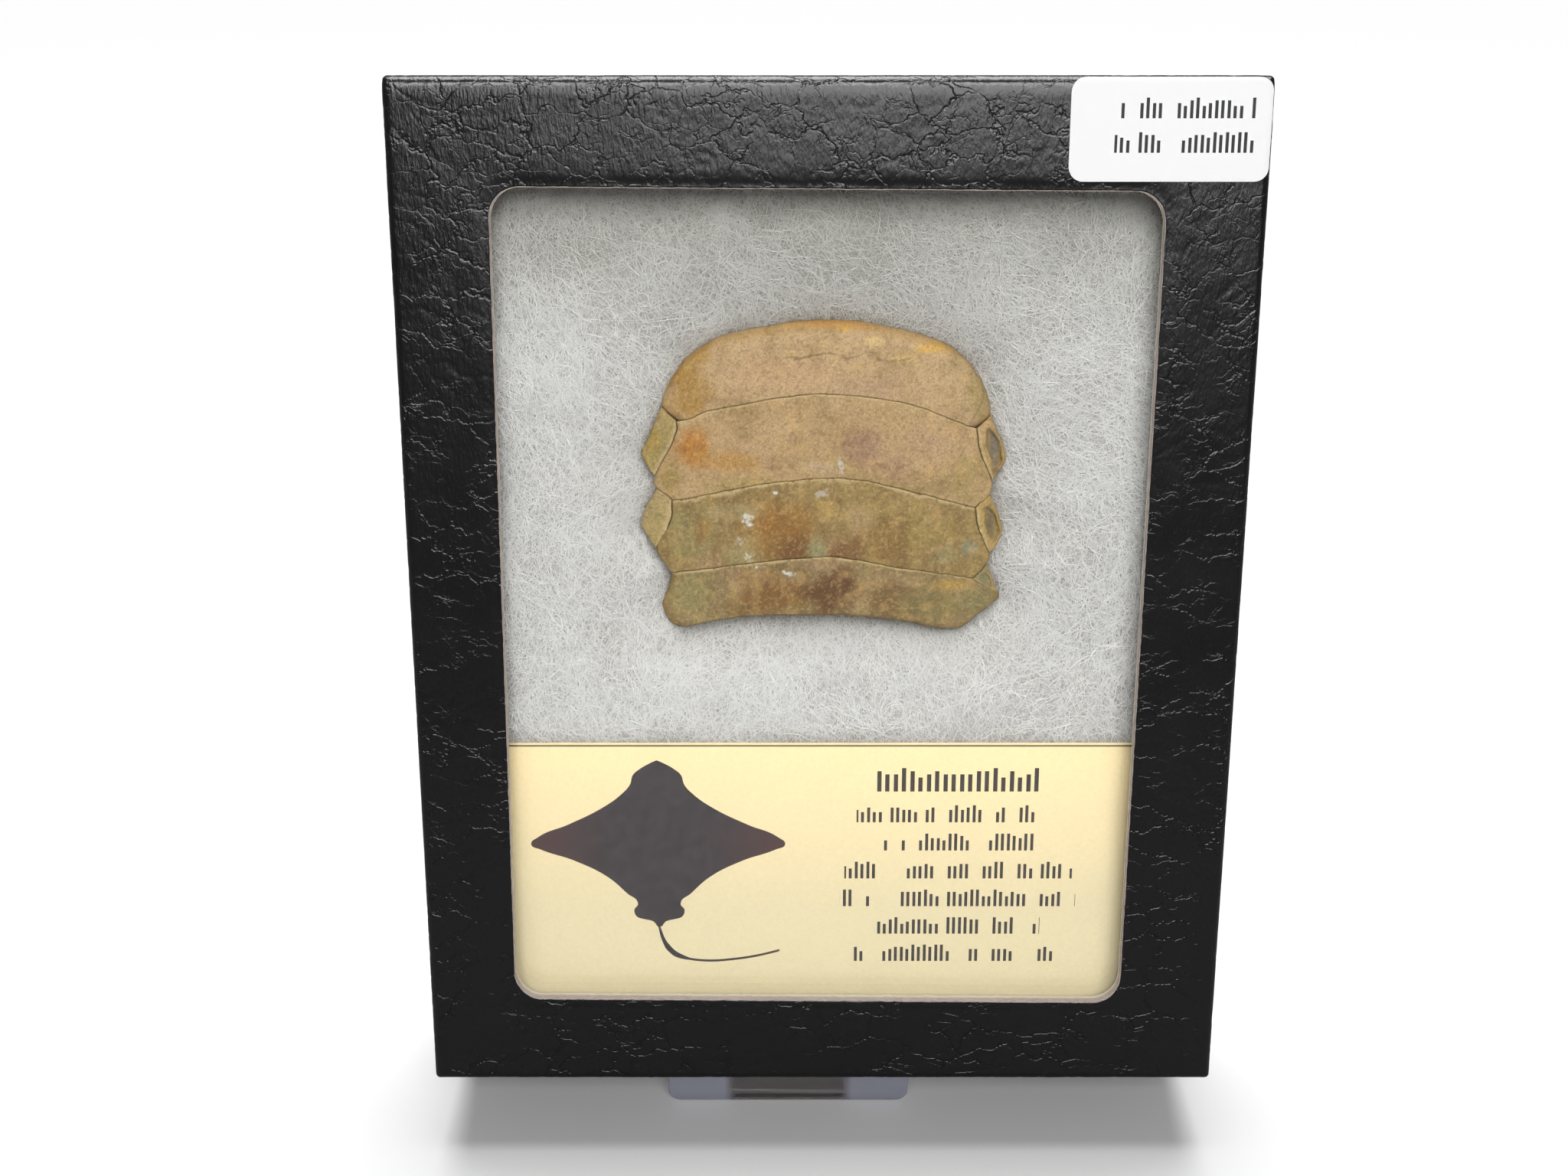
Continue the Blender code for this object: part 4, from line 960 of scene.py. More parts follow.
def make_stand(acrylic):
    """The bent sheet: one section carried from the front foot over ledge and back rest to the rear foot."""
    half = STAND_SHEET / 2

    def box_point(depth, height):
        """Back and height, on the stand's section, of a place in the leaning box's frame."""
        back = depth * math.cos(LEAN) + height * math.sin(LEAN)
        return np.array([back, FRONT_EDGE_HEIGHT - depth * math.sin(LEAN) + height * math.cos(LEAN)])

    ledge_front = box_point(0, -FIT - half)
    ledge_line = box_point(1, -FIT - half) - ledge_front
    skirt = STAND_SKIRT_SETBACK + half
    front_knot = ledge_front + ledge_line * (skirt - ledge_front[0]) / ledge_line[0]
    heel = box_point(BOX_DEPTH + FIT + half, -FIT - half)
    top = box_point(BOX_DEPTH + FIT + half, STAND_BACK_REST)
    knots = [(skirt, 0.0), front_knot, heel, top, (STAND_REAR_FOOT, 0.0)]
    path = filleted_path(knots, [STAND_BEND, STAND_BEND, STAND_TOP_BEND], 20)

    run = np.concatenate([[0], np.cumsum(np.linalg.norm(np.diff(path, axis=0), axis=1))])
    near = STAND_CORNER * (1 - np.cos(np.linspace(0, math.pi / 2, 14)))
    where = np.unique(np.concatenate([near, run[1:-1], run[-1] - near]))
    spine = np.stack([np.interp(where, run, path[:, axis]) for axis in (0, 1)], axis=1)
    ahead = np.gradient(spine, where, axis=0)
    ahead /= np.linalg.norm(ahead, axis=1)[:, None]
    side = np.stack([-ahead[:, 1], ahead[:, 0]], axis=1)
    to_end = np.minimum(where, where[-1] - where)
    inset = STAND_CORNER - np.sqrt(np.clip(
        STAND_CORNER**2 - np.clip(STAND_CORNER - to_end, 0, None) ** 2, 0, None))
    half_width = STAND_WIDTH / 2 - inset
    offset = side * half
    rear = where[-1] - where < 2 * STAND_CORNER
    offset[rear] = np.stack([half / side[rear, 0], np.zeros(rear.sum())], axis=1)

    # The section: a rectangle whose long edges are polished round by 0.2 mm
    round_off = 0.2
    turn = np.linspace(0, math.pi / 2, 5)
    section = []
    for quarter, (across, over) in enumerate(((1, 1), (-1, 1), (-1, -1), (1, -1))):
        angle = turn + quarter * math.pi / 2
        section.append(np.stack([np.full(5, float(across)), -round_off + round_off * np.cos(angle) * across,
                                 over * (1 - round_off / half) + round_off / half * np.sin(angle)], axis=1))
    section = np.concatenate(section)
    rings = np.empty((len(spine), len(section), 3))
    rings[..., 0] = STAND_RIGHT_OF_MIDDLE + section[:, 0] * (half_width[:, None] + section[:, 1])
    rings[..., 1:] = spine[:, None] + offset[:, None] * section[:, 2][None, :, None]
    rings[..., 1] -= ORIGIN_BEHIND_FRONT
    index = numbers(rings)
    walls = grid_faces(index, wrap=True)
    caps = [facing_like(walls, index[end][None]) for end in (0, -1)]
    add_piece("bent_stand", rings.reshape(-1, 3), [walls, *caps], [acrylic], replaces=["stand"],
              sharp=30)


# Materials


def new_material(name, colour, roughness, **settings):
    """A material and its Principled shader, with the values that are the same all over."""
    material = bpy.data.materials.new(name)
    material.use_nodes = True
    shader = material.node_tree.nodes["Principled BSDF"]
    shader.inputs["Base Color"].default_value = colour
    shader.inputs["Roughness"].default_value = roughness
    for key, value in settings.items():
        shader.inputs[key.replace("_", " ")].default_value = value
    return material, shader


def add(material, kind, settings=None, inputs=None):
    """Adds a node with its settings, and gives each input a value or another node's output."""
    made = material.node_tree.nodes.new("ShaderNode" + kind)
    for key, value in (settings or {}).items():
        if key == "points":
            for place, level in value[1:-1]:
                made.mapping.curves[0].points.new(place, level)
            made.mapping.curves[0].points[0].location = value[0]
            made.mapping.curves[0].points[-1].location = value[-1]
            made.mapping.update()
        else:
            setattr(made, key, value)
    for key, value in (inputs or {}).items():
        if isinstance(value, bpy.types.NodeSocket):
            material.node_tree.links.new(value, made.inputs[key])
        else:
            made.inputs[key].default_value = value
    return made.outputs


def feed(material, shader, **inputs):
    """Links outputs to the shader's sockets."""
    for key, value in inputs.items():
        material.node_tree.links.new(value, shader.inputs[key.replace("_", " ")])


def box_frame(material):
    """Object coordinates turned into the box's frame, in millimetres: X across, Y depth, Z up."""
    turn = np.array([[math.cos(LEAN), -math.sin(LEAN)], [math.sin(LEAN), math.cos(LEAN)]])
    back, height = -turn @ np.array([-ORIGIN_BEHIND_FRONT, FRONT_EDGE_HEIGHT])
    place = add(material, "TexCoord")["Object"]
    return add(material, "Mapping", {}, {
        "Vector": place, "Location": (0, back, height), "Rotation": (LEAN, 0, 0),
        "Scale": (1000, 1000, 1000)})["Vector"]


def patches(material, place, scale, detail, roughness, levels, values=(0.0, 1.0)):
    """Noise, stretched so that the two levels become the two values and none goes beyond them."""
    level = add(material, "TexNoise", {}, {
        "Vector": place, "Scale": scale, "Detail": detail, "Roughness": roughness})["Fac"]
    return add(material, "MapRange", {}, {
        "Value": level, "From Min": levels[0], "From Max": levels[1],
        "To Min": values[0], "To Max": values[1]})["Result"]


def painted_top_shade(material, place, end, most):
    """How much painted shade lies at each height: none up to 98 mm, and the most from the end on."""
    up = add(material, "SeparateXYZ", {}, {"Vector": place})["Z"]
    return add(material, "MapRange", {"interpolation_type": "SMOOTHSTEP"}, {
        "Value": up, "From Min": 98.0, "From Max": end, "To Min": 0.0, "To Max": most})["Result"]


def leatherette_material():
    """Embossed black leatherette paper on board: near-black and varnished.

    Fine upright streaks catch the light all over it, and thin wandering creases part it into
    plates that stand at slightly different heights, so that some show a lip, with painted shade in the
    creases.
    """
    material, shader = new_material(
        "black leatherette paper, embossed", rgba("#060607"), 0.27, Specular_IOR_Level=0.6)
    place = box_frame(material)
    swirl = add(material, "TexNoise", {}, {
        "Vector": place, "Scale": 0.3, "Detail": 3.0, "Roughness": 0.55})["Color"]
    bent = add(material, "VectorMath", {"operation": "MULTIPLY_ADD"}, {
        0: swirl, 1: (4.0, 4.0, 4.0), 2: place})["Vector"]
    fine = add(material, "TexNoise", {}, {"Vector": place, "Scale": 1.3, "Detail": 2.0})["Color"]
    bent = add(material, "VectorMath", {"operation": "MULTIPLY_ADD"}, {
        0: fine, 1: (0.5, 0.5, 0.5), 2: bent})["Vector"]
    height = 0.0
    dark = 1.0
    # Plates a millimetre, the share of a plate that a crease takes, its depth, the step between plates,
    # and the noise that says where the creases run: its scale, and the levels between which they start
    for plates, share, groove, step, runs in (
        ((0.17, 0.17, 0.26), 0.045, 0.065, 0.035, (0.1, 0.4, 0.56)),
        ((0.36, 0.36, 0.5), 0.06, 0.03, 0.012, (0.2, 0.48, 0.62)),
    ):
        wide = add(material, "Mapping", {}, {"Vector": bent, "Scale": plates})["Vector"]
        level = add(material, "TexVoronoi", {}, {"Vector": wide, "Scale": 1.0})["Color"]
        level = add(material, "SeparateColor", {}, {0: level})["Red"]
        gap = add(material, "TexVoronoi", {"feature": "DISTANCE_TO_EDGE"}, {
            "Vector": wide, "Scale": 1.0})["Distance"]
        closed = add(material, "MapRange", {"interpolation_type": "SMOOTHSTEP"}, {
            "Value": gap, "From Max": share, "To Min": 1.0, "To Max": 0.0})["Result"]
        present = patches(material, place, runs[0], 3.0, 0.5, runs[1:])
        closed = add(material, "Math", {"operation": "MULTIPLY"}, {0: closed, 1: present})["Value"]
        height = add(material, "Math", {"operation": "MULTIPLY_ADD"}, {
            0: closed, 1: -groove, 2: height})["Value"]
        level = add(material, "Math", {"operation": "MULTIPLY"}, {0: level, 1: present})["Value"]
        height = add(material, "Math", {"operation": "MULTIPLY_ADD"}, {0: level, 1: step, 2: height})["Value"]
        # Painted shade: the creases darken the base colour
        dark = add(material, "Math", {"operation": "MULTIPLY_ADD"}, {0: closed, 1: -0.6, 2: dark})["Value"]
    for size, amount in (((2.3, 2.3, 0.7), 0.06), ((5.0, 5.0, 2.0), 0.022)):
        streak = add(material, "Mapping", {}, {"Vector": place, "Scale": size})["Vector"]
        streak = add(material, "TexNoise", {}, {
            "Vector": streak, "Scale": 1.0, "Detail": 1.5, "Distortion": 0.5})["Fac"]
        height = add(material, "Math", {"operation": "MULTIPLY_ADD"}, {
            0: streak, 1: amount, 2: height})["Value"]
    bump = add(material, "Bump", {}, {"Height": height, "Distance": 0.001, "Strength": 1.0})["Normal"]
    rough = patches(material, place, 0.12, 4.0, 0.5, (0.3, 0.7), (0.23, 0.3))
    # Darker in the creases: painted shade
    shade = add(material, "Mix", {"data_type": "RGBA"}, {0: dark, 6: rgba("#010101"), 7: rgba("#070709")})[2]
    scuff = patches(material, place, 0.35, 6.0, 0.75, (0.67, 0.8), (0.0, 0.4))
    shade = add(material, "Mix", {"data_type": "RGBA"}, {0: scuff, 6: shade, 7: rgba("#3b3b3d")})[2]
    feed(material, shader, Normal=bump, Roughness=rough, Base_Color=shade)
    return material


def raw_board_material():
    """Cut greyboard, where the window was stamped: pinkish grey, layered and furry, paler at the back."""
    material, shader = new_material("cut greyboard edge", rgba("#b3a096"), 0.85, Specular_IOR_Level=0.2)
    place = box_frame(material)
    layers = add(material, "Mapping", {}, {"Vector": place, "Scale": (1.2, 7.0, 1.2)})["Vector"]
    fibres = patches(material, layers, 1.0, 5.0, 0.7, (0.3, 0.7))
    shade = add(material, "Mix", {"data_type": "RGBA"}, {
        0: fibres, 6: rgba("#aa9a95"), 7: rgba("#e2d4c9")})[2]
    depth = add(material, "SeparateXYZ", {}, {"Vector": place})["Y"]
    inner = add(material, "MapRange", {}, {"Value": depth, "From Min": 1.2, "From Max": 1.8})["Result"]
    shade = add(material, "Mix", {"data_type": "RGBA"}, {0: inner, 6: shade, 7: rgba("#f4ebd8")})[2]
    bump = add(material, "Bump", {}, {"Height": fibres, "Distance": 0.0001, "Strength": 0.8})["Normal"]
    feed(material, shader, Base_Color=shade, Normal=bump)
    return material


def black_paper_material():
    """Black wrapping paper on the tray: matt, with a fine felt grain and paler rubbed patches."""
    material, shader = new_material("black wrapping paper", rgba("#1a1a1b"), 0.62, Specular_IOR_Level=0.35)
    place = box_frame(material)
    felt = add(material, "TexNoise", {}, {
        "Vector": place, "Scale": 3.0, "Detail": 6.0, "Roughness": 0.7})["Fac"]
    rub = patches(material, place, 0.08, 6.0, 0.65, (0.45, 0.8))
    shade = add(material, "Mix", {"data_type": "RGBA"}, {0: rub, 6: rgba("#171718"), 7: rgba("#303031")})[2]
    bump = add(material, "Bump", {}, {"Height": felt, "Distance": 0.00005, "Strength": 0.9})["Normal"]
    feed(material, shader, Base_Color=shade, Normal=bump)
    return material


def clear_material(name, colour, roughness, ior):
    """Clear glass or acrylic: plain transmission that lets lamps through to what lies behind."""
    material, shader = new_material(name, colour, roughness, IOR=ior, Transmission_Weight=1.0)
    passing = add(material, "BsdfTransparent", {}, {"Color": colour})["BSDF"]
    shadow = add(material, "LightPath")["Is Shadow Ray"]
    mixed = add(material, "MixShader", {}, {0: shadow, 1: shader.outputs["BSDF"], 2: passing})["Shader"]
    material.node_tree.links.new(mixed, material.node_tree.nodes["Material Output"].inputs["Surface"])
    return material


def acrylic_material():
    """Clear acrylic sheet, sawn and bent hot.

    Darkened in the strip that shows under the box, a painted shadow of the box seen through it, with
    painted light at that strip's ends, paler blue-grey and less clear; nearly colourless elsewhere.
    """
    material = clear_material("clear acrylic sheet", (0.5, 0.49, 0.5, 1), 0.05, 1.49)
    shader = material.node_tree.nodes["Principled BSDF"]
    spot = add(material, "SeparateXYZ", {}, {0: add(material, "TexCoord")["Object"]})
    away = add(material, "Math", {"operation": "SUBTRACT"}, {
        0: spot["X"], 1: STAND_RIGHT_OF_MIDDLE / 1000})["Value"]
    away = add(material, "Math", {"operation": "ABSOLUTE"}, {0: away})["Value"]
    ends = add(material, "MapRange", {"interpolation_type": "SMOOTHSTEP"}, {
        "Value": away, "From Min": 0.0075, "From Max": 0.0095})["Result"]
    front = add(material, "MapRange", {"interpolation_type": "SMOOTHSTEP"}, {
        "Value": spot["Y"], "From Min": -0.027, "From Max": -0.02, "To Min": 1.0, "To Max": 0.0})["Result"]
    # Painted light: the strip's ends, paler blue-grey and less clear
    pale_ends_painted_light = add(material, "Math", {"operation": "MULTIPLY"}, {0: ends, 1: front})["Value"]
    pale_ends_painted_light = add(material, "Math", {"operation": "MULTIPLY_ADD"}, {0: pale_ends_painted_light, 1: 0.5, 2: 0.1})["Value"]
    clear = add(material, "Math", {"operation": "SUBTRACT"}, {0: 1.0, 1: pale_ends_painted_light})["Value"]
    # Painted shadow: the front strip's dark tone stands for the box's shadow seen through the sheet
    tone = add(material, "Mix", {"data_type": "RGBA"}, {
        0: front, 6: (0.8, 0.82, 0.83, 1), 7: (0.4, 0.37, 0.35, 1)})[2]
    tone = add(material, "Mix", {"data_type": "RGBA"}, {0: pale_ends_painted_light, 6: tone, 7: rgba("#b9c0d6")})[2]
    feed(material, shader, Transmission_Weight=clear, Base_Color=tone)
    return material


def batting_material():
    """Polyester wadding.

    Soft white with grey hollows between its tangled fibres, and painted shade that greys it towards the
    window's top, where the lid shades it.
    """
    material, shader = new_material("white polyester wadding", rgba("#d0d0cb"), 0.95, Specular_IOR_Level=0.1)
    place = box_frame(material)
    swirl = add(material, "TexNoise", {}, {"Vector": place, "Scale": 0.6, "Detail": 3.0})["Color"]
    swirl = add(material, "VectorMath", {"operation": "MULTIPLY_ADD"}, {
        0: swirl, 1: (3.0, 3.0, 3.0), 2: place})["Vector"]
    tangle = add(material, "Mapping", {}, {"Vector": swirl, "Scale": (4.0, 1.5, 1.6)})["Vector"]
    tangle = patches(material, tangle, 1.0, 5.0, 0.7, (0.38, 0.62))
    cloud = patches(material, place, 0.1, 3.0, 0.5, (0.35, 0.65), (0.0, 0.35))
    # Painted shade: the tangle's low parts are grey, for the hollows between the fibres
    light = add(material, "Mix", {"data_type": "RGBA"}, {
        0: tangle, 6: rgba("#a8a6a2"), 7: rgba("#e6e4e1")})[2]
    light = add(material, "Mix", {"data_type": "RGBA"}, {0: cloud, 6: light, 7: rgba("#bdb8b6")})[2]
    # Painted shade: greyer towards the window's top, where the lid shades it
    shade = painted_top_shade(material, place, 124.0, 0.9)
    light = add(material, "Mix", {"data_type": "RGBA"}, {0: shade, 6: light, 7: rgba("#9b998e")})[2]
    bump = add(material, "Bump", {}, {"Height": tangle, "Distance": 0.0004, "Strength": 0.6})["Normal"]
    feed(material, shader, Base_Color=light, Normal=bump)
    return material


def fibre_material():
    """A single polyester fibre: clean white with a faint gloss, with painted shade dulling it towards the
    window's top.
    """
    material, shader = new_material("polyester fibre", rgba("#f4f4f2"), 0.5, Specular_IOR_Level=0.4)
    # Painted shade: duller towards the window's top
    shade = painted_top_shade(material, box_frame(material), 126.0, 0.8)
    light = add(material, "Mix", {"data_type": "RGBA"}, {0: shade, 6: rgba("#f6f6f4"), 7: rgba("#bfbeb6")})[2]
    feed(material, shader, Base_Color=light)
    return material


def printed_rows(material, place, middle, rows, line, letter, half_length, seed):
    """Ink, 0 or 1, of rows of plain upright ticks, which stand for small print and spell nothing.

    The rows are cut into cells, and chance gives each cell a left tick, a right one, both or a word's gap.
    line and letter are the distances from row to row and cell to cell, and half_length the least and the
    greatest half length of a row.
    """
    across, up = middle
    cell = add(material, "Mapping", {}, {
        "Vector": place, "Location": (seed - across / letter, 0.5, rows / 2 - up / line),
        "Scale": (1 / letter, 0, 1 / line)})["Vector"]
    own = add(material, "VectorMath", {"operation": "FLOOR"}, {0: cell})["Vector"]
    inside = add(material, "VectorMath", {"operation": "FRACTION"}, {0: cell})["Vector"]
    share = add(material, "SeparateXYZ", {}, {0: inside})
    dice = add(material, "SeparateColor", {}, {
        0: add(material, "TexWhiteNoise", {}, {"Vector": own})["Color"]})
    row = add(material, "SeparateXYZ", {}, {0: own})["Z"]
    row_dice = add(material, "TexWhiteNoise", {"noise_dimensions": "1D"}, {"W": row})["Value"]
    reach = add(material, "MapRange", {}, {
        "Value": row_dice, "To Min": half_length[0], "To Max": half_length[1]})["Result"]
    spot = add(material, "SeparateXYZ", {}, {0: place})
    ink = 0.0
    # Where a tick stands in its cell, the dice that put it there, and those that make it tall
    for stand, put, least, grow in ((0.24, "Red", 0.12, "Green"), (0.72, "Green", 0.2, "Red")):
        tick = add(material, "Math", {"operation": "COMPARE"}, {0: share["X"], 1: stand, 2: 0.13})["Value"]
        there = add(material, "Math", {"operation": "GREATER_THAN"}, {0: dice[put], 1: least})["Value"]
        top = add(material, "MapRange", {"interpolation_type": "STEPPED"}, {
            "Value": dice[grow], "Steps": 3.0, "To Min": 0.58, "To Max": 0.82})["Result"]
        below = add(material, "Math", {"operation": "LESS_THAN"}, {0: share["Z"], 1: top})["Value"]
        tick = add(material, "Math", {"operation": "MULTIPLY"}, {0: tick, 1: there})["Value"]
        tick = add(material, "Math", {"operation": "MULTIPLY"}, {0: tick, 1: below})["Value"]
        ink = add(material, "Math", {"operation": "MAXIMUM"}, {0: tick, 1: ink})["Value"]
    for test, value, limit, spread in (
        ("GREATER_THAN", share["Z"], 0.22, 0.0),
        ("GREATER_THAN", dice["Blue"], 0.17, 0.0),
        ("COMPARE", spot["X"], across, reach),
        ("COMPARE", spot["Z"], up, rows * line / 2),
    ):
        kept = add(material, "Math", {"operation": test}, {0: value, 1: limit, 2: spread})["Value"]
        ink = add(material, "Math", {"operation": "MULTIPLY"}, {0: ink, 1: kept})["Value"]
    return ink


# A plain ray seen from above: half width at each height from the tail's root, both as shares
RAY_OUTLINE = [
    (0.0, 0.02), (0.03, 0.05), (0.06, 0.18), (0.1, 0.2), (0.14, 0.17), (0.2, 0.25), (0.3, 0.4), (0.4, 0.66),
    (0.47, 0.93), (0.5, 1.0), (0.54, 0.95), (0.62, 0.7), (0.72, 0.43), (0.8, 0.28), (0.86, 0.21),
    (0.91, 0.19), (0.95, 0.13), (0.98, 0.06), (1.0, 0.0),
]
# Its tail: height at each place to the right of the root
RAY_TAIL = [(0.0, 1.0), (0.03, 0.62), (0.08, 0.34), (0.18, 0.12), (0.34, 0.02), (0.6, 0.05), (1.0, 0.3)]


def ray_figure(material, place, middle, foot, height, half_span):
    """Ink of the ray picture: 1 where the distance from its middle line is under the outline's half width."""
    spot = add(material, "SeparateXYZ", {}, {0: place})
    rise = add(material, "MapRange", {}, {
        "Value": spot["Z"], "From Min": foot, "From Max": foot + height})["Result"]
    outline = add(material, "FloatCurve", {"points": RAY_OUTLINE}, {"Value": rise})["Value"]
    outline = add(material, "Math", {"operation": "MULTIPLY"}, {0: outline, 1: half_span})["Value"]
    body = add(material, "Math", {"operation": "COMPARE"}, {0: spot["X"], 1: middle, 2: outline})["Value"]
    inside = add(material, "Math", {"operation": "COMPARE"}, {
        0: spot["Z"], 1: foot + height / 2, 2: height / 2})["Value"]
    body = add(material, "Math", {"operation": "MULTIPLY"}, {0: body, 1: inside})["Value"]
    along = add(material, "MapRange", {}, {
        "Value": spot["X"], "From Min": middle - 0.15, "From Max": middle + 17.0})["Result"]
    line = add(material, "FloatCurve", {"points": RAY_TAIL}, {"Value": along})["Value"]
    line = add(material, "MapRange", {}, {
        "Value": line, "To Min": foot - 5.2, "To Max": foot + 0.6})["Result"]
    thick = add(material, "MapRange", {}, {
        "Value": along, "From Max": 0.25, "To Min": 0.8, "To Max": 0.17})["Result"]
    tail = add(material, "Math", {"operation": "COMPARE"}, {0: spot["Z"], 1: line, 2: thick})["Value"]
    reach = add(material, "Math", {"operation": "COMPARE"}, {0: spot["X"], 1: middle + 8.2, 2: 8.4})["Value"]
    tail = add(material, "Math", {"operation": "MULTIPLY"}, {0: tail, 1: reach})["Value"]
    return add(material, "Math", {"operation": "MAXIMUM"}, {0: body, 1: tail})["Value"]


def card_material():
    """Printed cream card.

    Laser ink on a smooth pale yellow card, with painted light making it paler towards its top and painted
    shade deeper in tone towards its foot, and a thin dark line just under its cut top.
    """
    material, shader = new_material(
        "cream card, laser printed", rgba("#f0e4b0"), 0.55, Specular_IOR_Level=0.35)
    place = box_frame(material)
    up = add(material, "SeparateXYZ", {}, {"Vector": place})["Z"]
    # Painted light and shade: paler towards the top, deeper towards the foot
    depth = add(material, "MapRange", {}, {"Value": up, "From Min": 24.0, "From Max": 46.0})["Result"]
    tone = add(material, "Mix", {"data_type": "RGBA"}, {0: depth, 6: rgba("#d6c9a3"), 7: rgba("#efdaa8")})[2]
    pulp = patches(material, place, 2.2, 5.0, 0.7, (0.3, 0.7), (0.95, 1.04))
    tone = add(material, "VectorMath", {"operation": "SCALE"}, {0: tone, "Scale": pulp})["Vector"]
    title = printed_rows(material, place, (18.3, 42.5), 1, 5.6, 2.25, (11.5, 12.5), 40)
    words = printed_rows(material, place, (18.6, 27.4), 6, 4.1, 1.6, (10.5, 17.0), 11)
    # A thin dark line just under the cut top, laid with the ink
    edge = add(material, "Math", {"operation": "COMPARE"}, {0: up, 1: CARD_TOP - 0.35, 2: 0.14})["Value"]
    ink = add(material, "Math", {"operation": "MAXIMUM"}, {0: title, 1: words})["Value"]
    ink = add(material, "Math", {"operation": "MULTIPLY_ADD"}, {0: edge, 1: 0.8, 2: ink})["Value"]
    tone = add(material, "Mix", {"data_type": "RGBA"}, {0: ink, 6: tone, 7: rgba("#2c211b")})[2]
    ray = ray_figure(material, place, -22.6, 21.2, 24.2, 17.4)
    tip = add(material, "SeparateXYZ", {}, {"Vector": place})["X"]
    tip = add(material, "Math", {"operation": "SUBTRACT"}, {0: tip, 1: -22.6})["Value"]
    tip = add(material, "Math", {"operation": "ABSOLUTE"}, {0: tip})["Value"]
    tip = add(material, "MapRange", {}, {"Value": tip, "From Min": 7.0, "From Max": 17.0})["Result"]
    skin = patches(material, place, 0.7, 4.0, 0.5, (0.3, 0.7))
    hide = add(material, "Mix", {"data_type": "RGBA"}, {0: skin, 6: rgba("#160e12"), 7: rgba("#2e2328")})[2]
    hide = add(material, "Mix", {"data_type": "RGBA"}, {0: tip, 6: hide, 7: rgba("#3c1d1a")})[2]
    tone = add(material, "Mix", {"data_type": "RGBA"}, {0: ray, 6: tone, 7: hide})[2]
    feed(material, shader, Base_Color=tone)
    return material


def sticker_material():
    """White self-adhesive label with a printer's satin face and two rows of grey-black print."""
    material, shader = new_material(
        "white label paper, printed", rgba("#ececec"), 0.5, Specular_IOR_Level=0.35)
    place = box_frame(material)
    words = printed_rows(material, place, (43.4, 127.3), 2, 4.0, 1.5, (7.9, 9.4), 5)
    tone = add(material, "Mix", {"data_type": "RGBA"}, {0: words, 6: rgba("#ffffff"), 7: rgba("#2a2a2a")})[2]
    pulp = add(material, "TexNoise", {}, {"Vector": place, "Scale": 2.5, "Detail": 4.0})["Fac"]
    bump = add(material, "Bump", {}, {"Height": pulp, "Distance": 0.00003, "Strength": 0.5})["Normal"]
    feed(material, shader, Base_Color=tone, Normal=bump)
    return material


def enamel_material():
    """Fossil tooth enamel and dentine.

    Dull and sandy, its stains and the painted shade on its walls and underside from the tint attribute,
    with fine pale and dark grains and a slight gloss where worn smooth.
    """
    material, shader = new_material("fossil tooth enamel", rgba("#8c7848"), 0.7, Specular_IOR_Level=0.35)
    place = box_frame(material)
    tint = add(material, "Attribute", {"attribute_name": "tint"})["Color"]
    fine = add(material, "TexNoise", {}, {
        "Vector": place, "Scale": 4.0, "Detail": 4.0, "Roughness": 0.75})["Fac"]
    gain = add(material, "MapRange", {}, {
        "Value": fine, "From Min": 0.25, "From Max": 0.75, "To Min": 0.58, "To Max": 1.32})["Result"]
    shade = add(material, "VectorMath", {"operation": "SCALE"}, {0: tint, "Scale": gain})["Vector"]
    grains = add(material, "TexVoronoi", {}, {"Vector": place, "Scale": 2.4})["Distance"]
    grains = add(material, "MapRange", {}, {
        "Value": grains, "From Min": 0.05, "From Max": 0.2, "To Min": 0.4, "To Max": 0.0})["Result"]
    shade = add(material, "Mix", {"data_type": "RGBA"}, {0: grains, 6: shade, 7: rgba("#c8b17e")})[2]
    rough = add(material, "MapRange", {}, {"Value": fine, "To Min": 0.55, "To Max": 0.85})["Result"]
    bump = add(material, "Bump", {}, {"Height": fine, "Distance": 0.00012, "Strength": 0.8})["Normal"]
    feed(material, shader, Base_Color=shade, Roughness=rough, Normal=bump)
    return material


def make_floor():
    """A pale sweep under the object, which gloss sees darker: a painted reflection, darker than the floor
    itself.
    """
    half = 4.0
    sunk = 0.0002
    material, shader = new_material("matt white sweep", rgba("#fbfbfb"), 0.9, Specular_IOR_Level=0.1)
    # Painted reflection: gloss sees the floor darker than it is
    ray = add(material, "LightPath")
    mirrored = add(material, "Math", {"operation": "GREATER_THAN"}, {
        0: ray["Is Glossy Ray"], 1: ray["Is Transmission Ray"]})["Value"]
    tone = add(material, "Mix", {"data_type": "RGBA"}, {
        0: mirrored, 6: rgba("#fbfbfb"), 7: rgba("#7c7c7c")})[2]
    feed(material, shader, Base_Color=tone)
    mesh = bpy.data.meshes.new("floor")
    corners = [(across * half, back * half, -sunk) for across, back in ((-1, -1), (1, -1), (1, 1), (-1, 1))]
    mesh.from_pydata(corners, [], [(0, 1, 2, 3)])
    mesh.materials.append(material)
    floor = bpy.data.objects.new("floor", mesh)
    bpy.context.scene.collection.objects.link(floor)


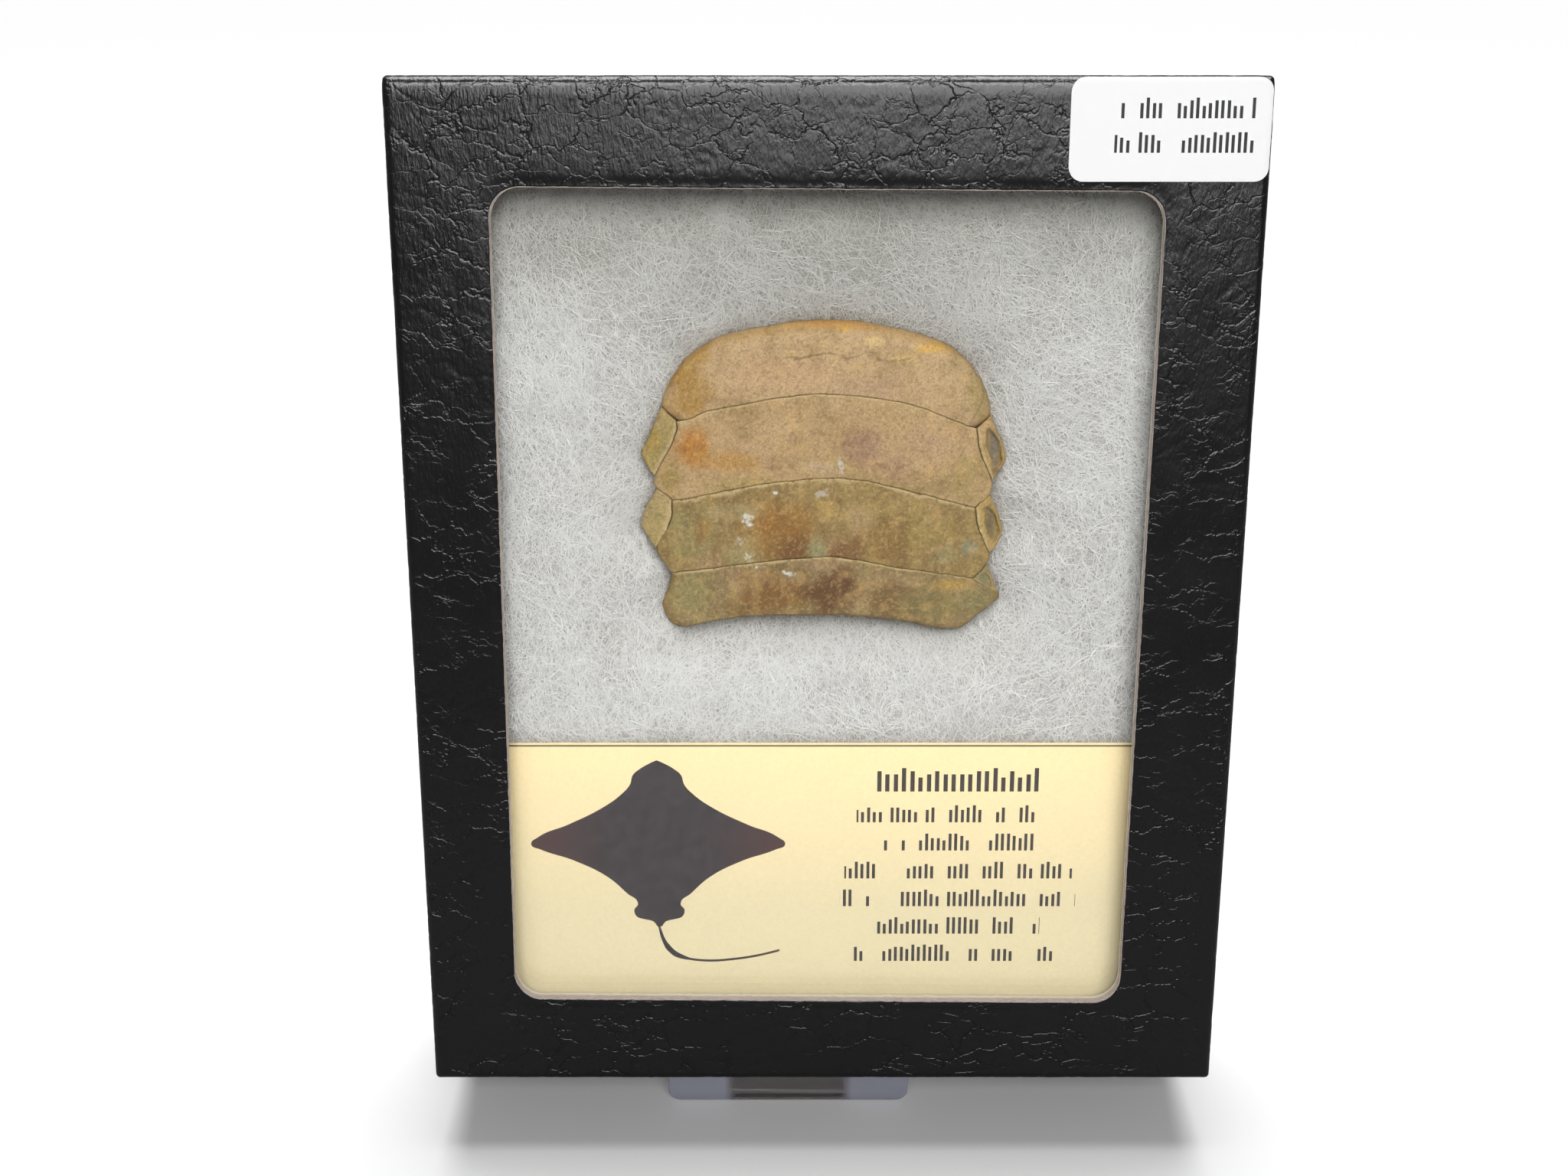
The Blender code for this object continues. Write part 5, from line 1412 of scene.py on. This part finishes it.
def make_lights():
    """An even surround, a wide soft light from above, a softbox in front and a strip light over it.

    The surround is paler to the camera than to other rays, and joins the pale floor. The lid's top edge
    mirrors the softbox, and its top band the strip light, which gloss alone sees.
    """
    world = bpy.data.worlds.new("studio")
    bpy.context.scene.world = world
    world.use_nodes = True
    world.node_tree.nodes["Background"].inputs["Color"].default_value = (1, 1, 1, 1)
    background = world.node_tree.nodes["Background"].inputs["Strength"]
    path = world.node_tree.nodes.new("ShaderNodeLightPath")
    seen = world.node_tree.nodes.new("ShaderNodeMapRange")
    seen.inputs["To Min"].default_value = 0.13
    seen.inputs["To Max"].default_value = 1.0
    world.node_tree.links.new(path.outputs["Is Camera Ray"], seen.inputs["Value"])
    world.node_tree.links.new(seen.outputs["Result"], background)
    for name, sizes, power, place, turn in (
        ("overhead light", None, 3.1, (0, 0, 1), (-24, 0, 0)),
        ("front softbox", (0.6, 0.36), 3.0, (0.1, -0.685, 0.563), (64.5, 0, 7)),
        ("strip light", (0.9, 0.16), 5.6, (0.0, -0.47, 0.76), (37, 0, 0)),
    ):
        data = bpy.data.lights.new(name, "AREA" if sizes else "SUN")
        data.energy = power
        if sizes:
            data.shape = "RECTANGLE"
            data.size, data.size_y = sizes
        else:
            data.angle = math.radians(42)
        lamp = bpy.data.objects.new(name, data)
        lamp.visible_diffuse = lamp.visible_transmission = name != "strip light"
        lamp.location = place
        lamp.rotation_euler = [math.radians(angle) for angle in turn]
        bpy.context.scene.collection.objects.link(lamp)


def make_camera():
    """The photograph's own view, solved from the box's corners."""
    data = bpy.data.cameras.new("camera")
    data.sensor_width = 36
    data.lens = 34.2
    data.clip_start = 0.01
    camera = bpy.data.objects.new("camera", data)
    camera.location = (-0.00536, -0.19408, 0.16415)
    camera.rotation_euler = (math.radians(63.6), 0, 0)
    bpy.context.scene.collection.objects.link(camera)
    bpy.context.scene.camera = camera


def main():
    """Every piece, then the floor, the lights and the camera."""
    leather = leatherette_material()
    make_lid_front(leather, raw_board_material())
    make_lid_sides(leather)
    make_tray(black_paper_material())
    make_batting(batting_material())
    fibre = fibre_material()
    for number, thick in enumerate((0.018, 0.022, 0.028, 0.04), 1):
        make_fibres(f"batting_fibres_{number}", 5800, number, fibre, thick)
    enamel = enamel_material()
    for name in TEETH:
        make_tooth(name, enamel)
    make_sticker(sticker_material())
    make_stand(acrylic_material())
    glass = clear_material("window glass", (0.93, 0.93, 0.922, 1), 0.01, 1.4)
    for node, material in (("glass_pane", glass), ("label_card", card_material())):
        carried = bpy.data.objects[node]
        carried.data.materials.clear()
        carried.data.materials.append(material)
    make_floor()
    make_lights()
    make_camera()
    bpy.context.scene.view_settings.view_transform = "Standard"


main()
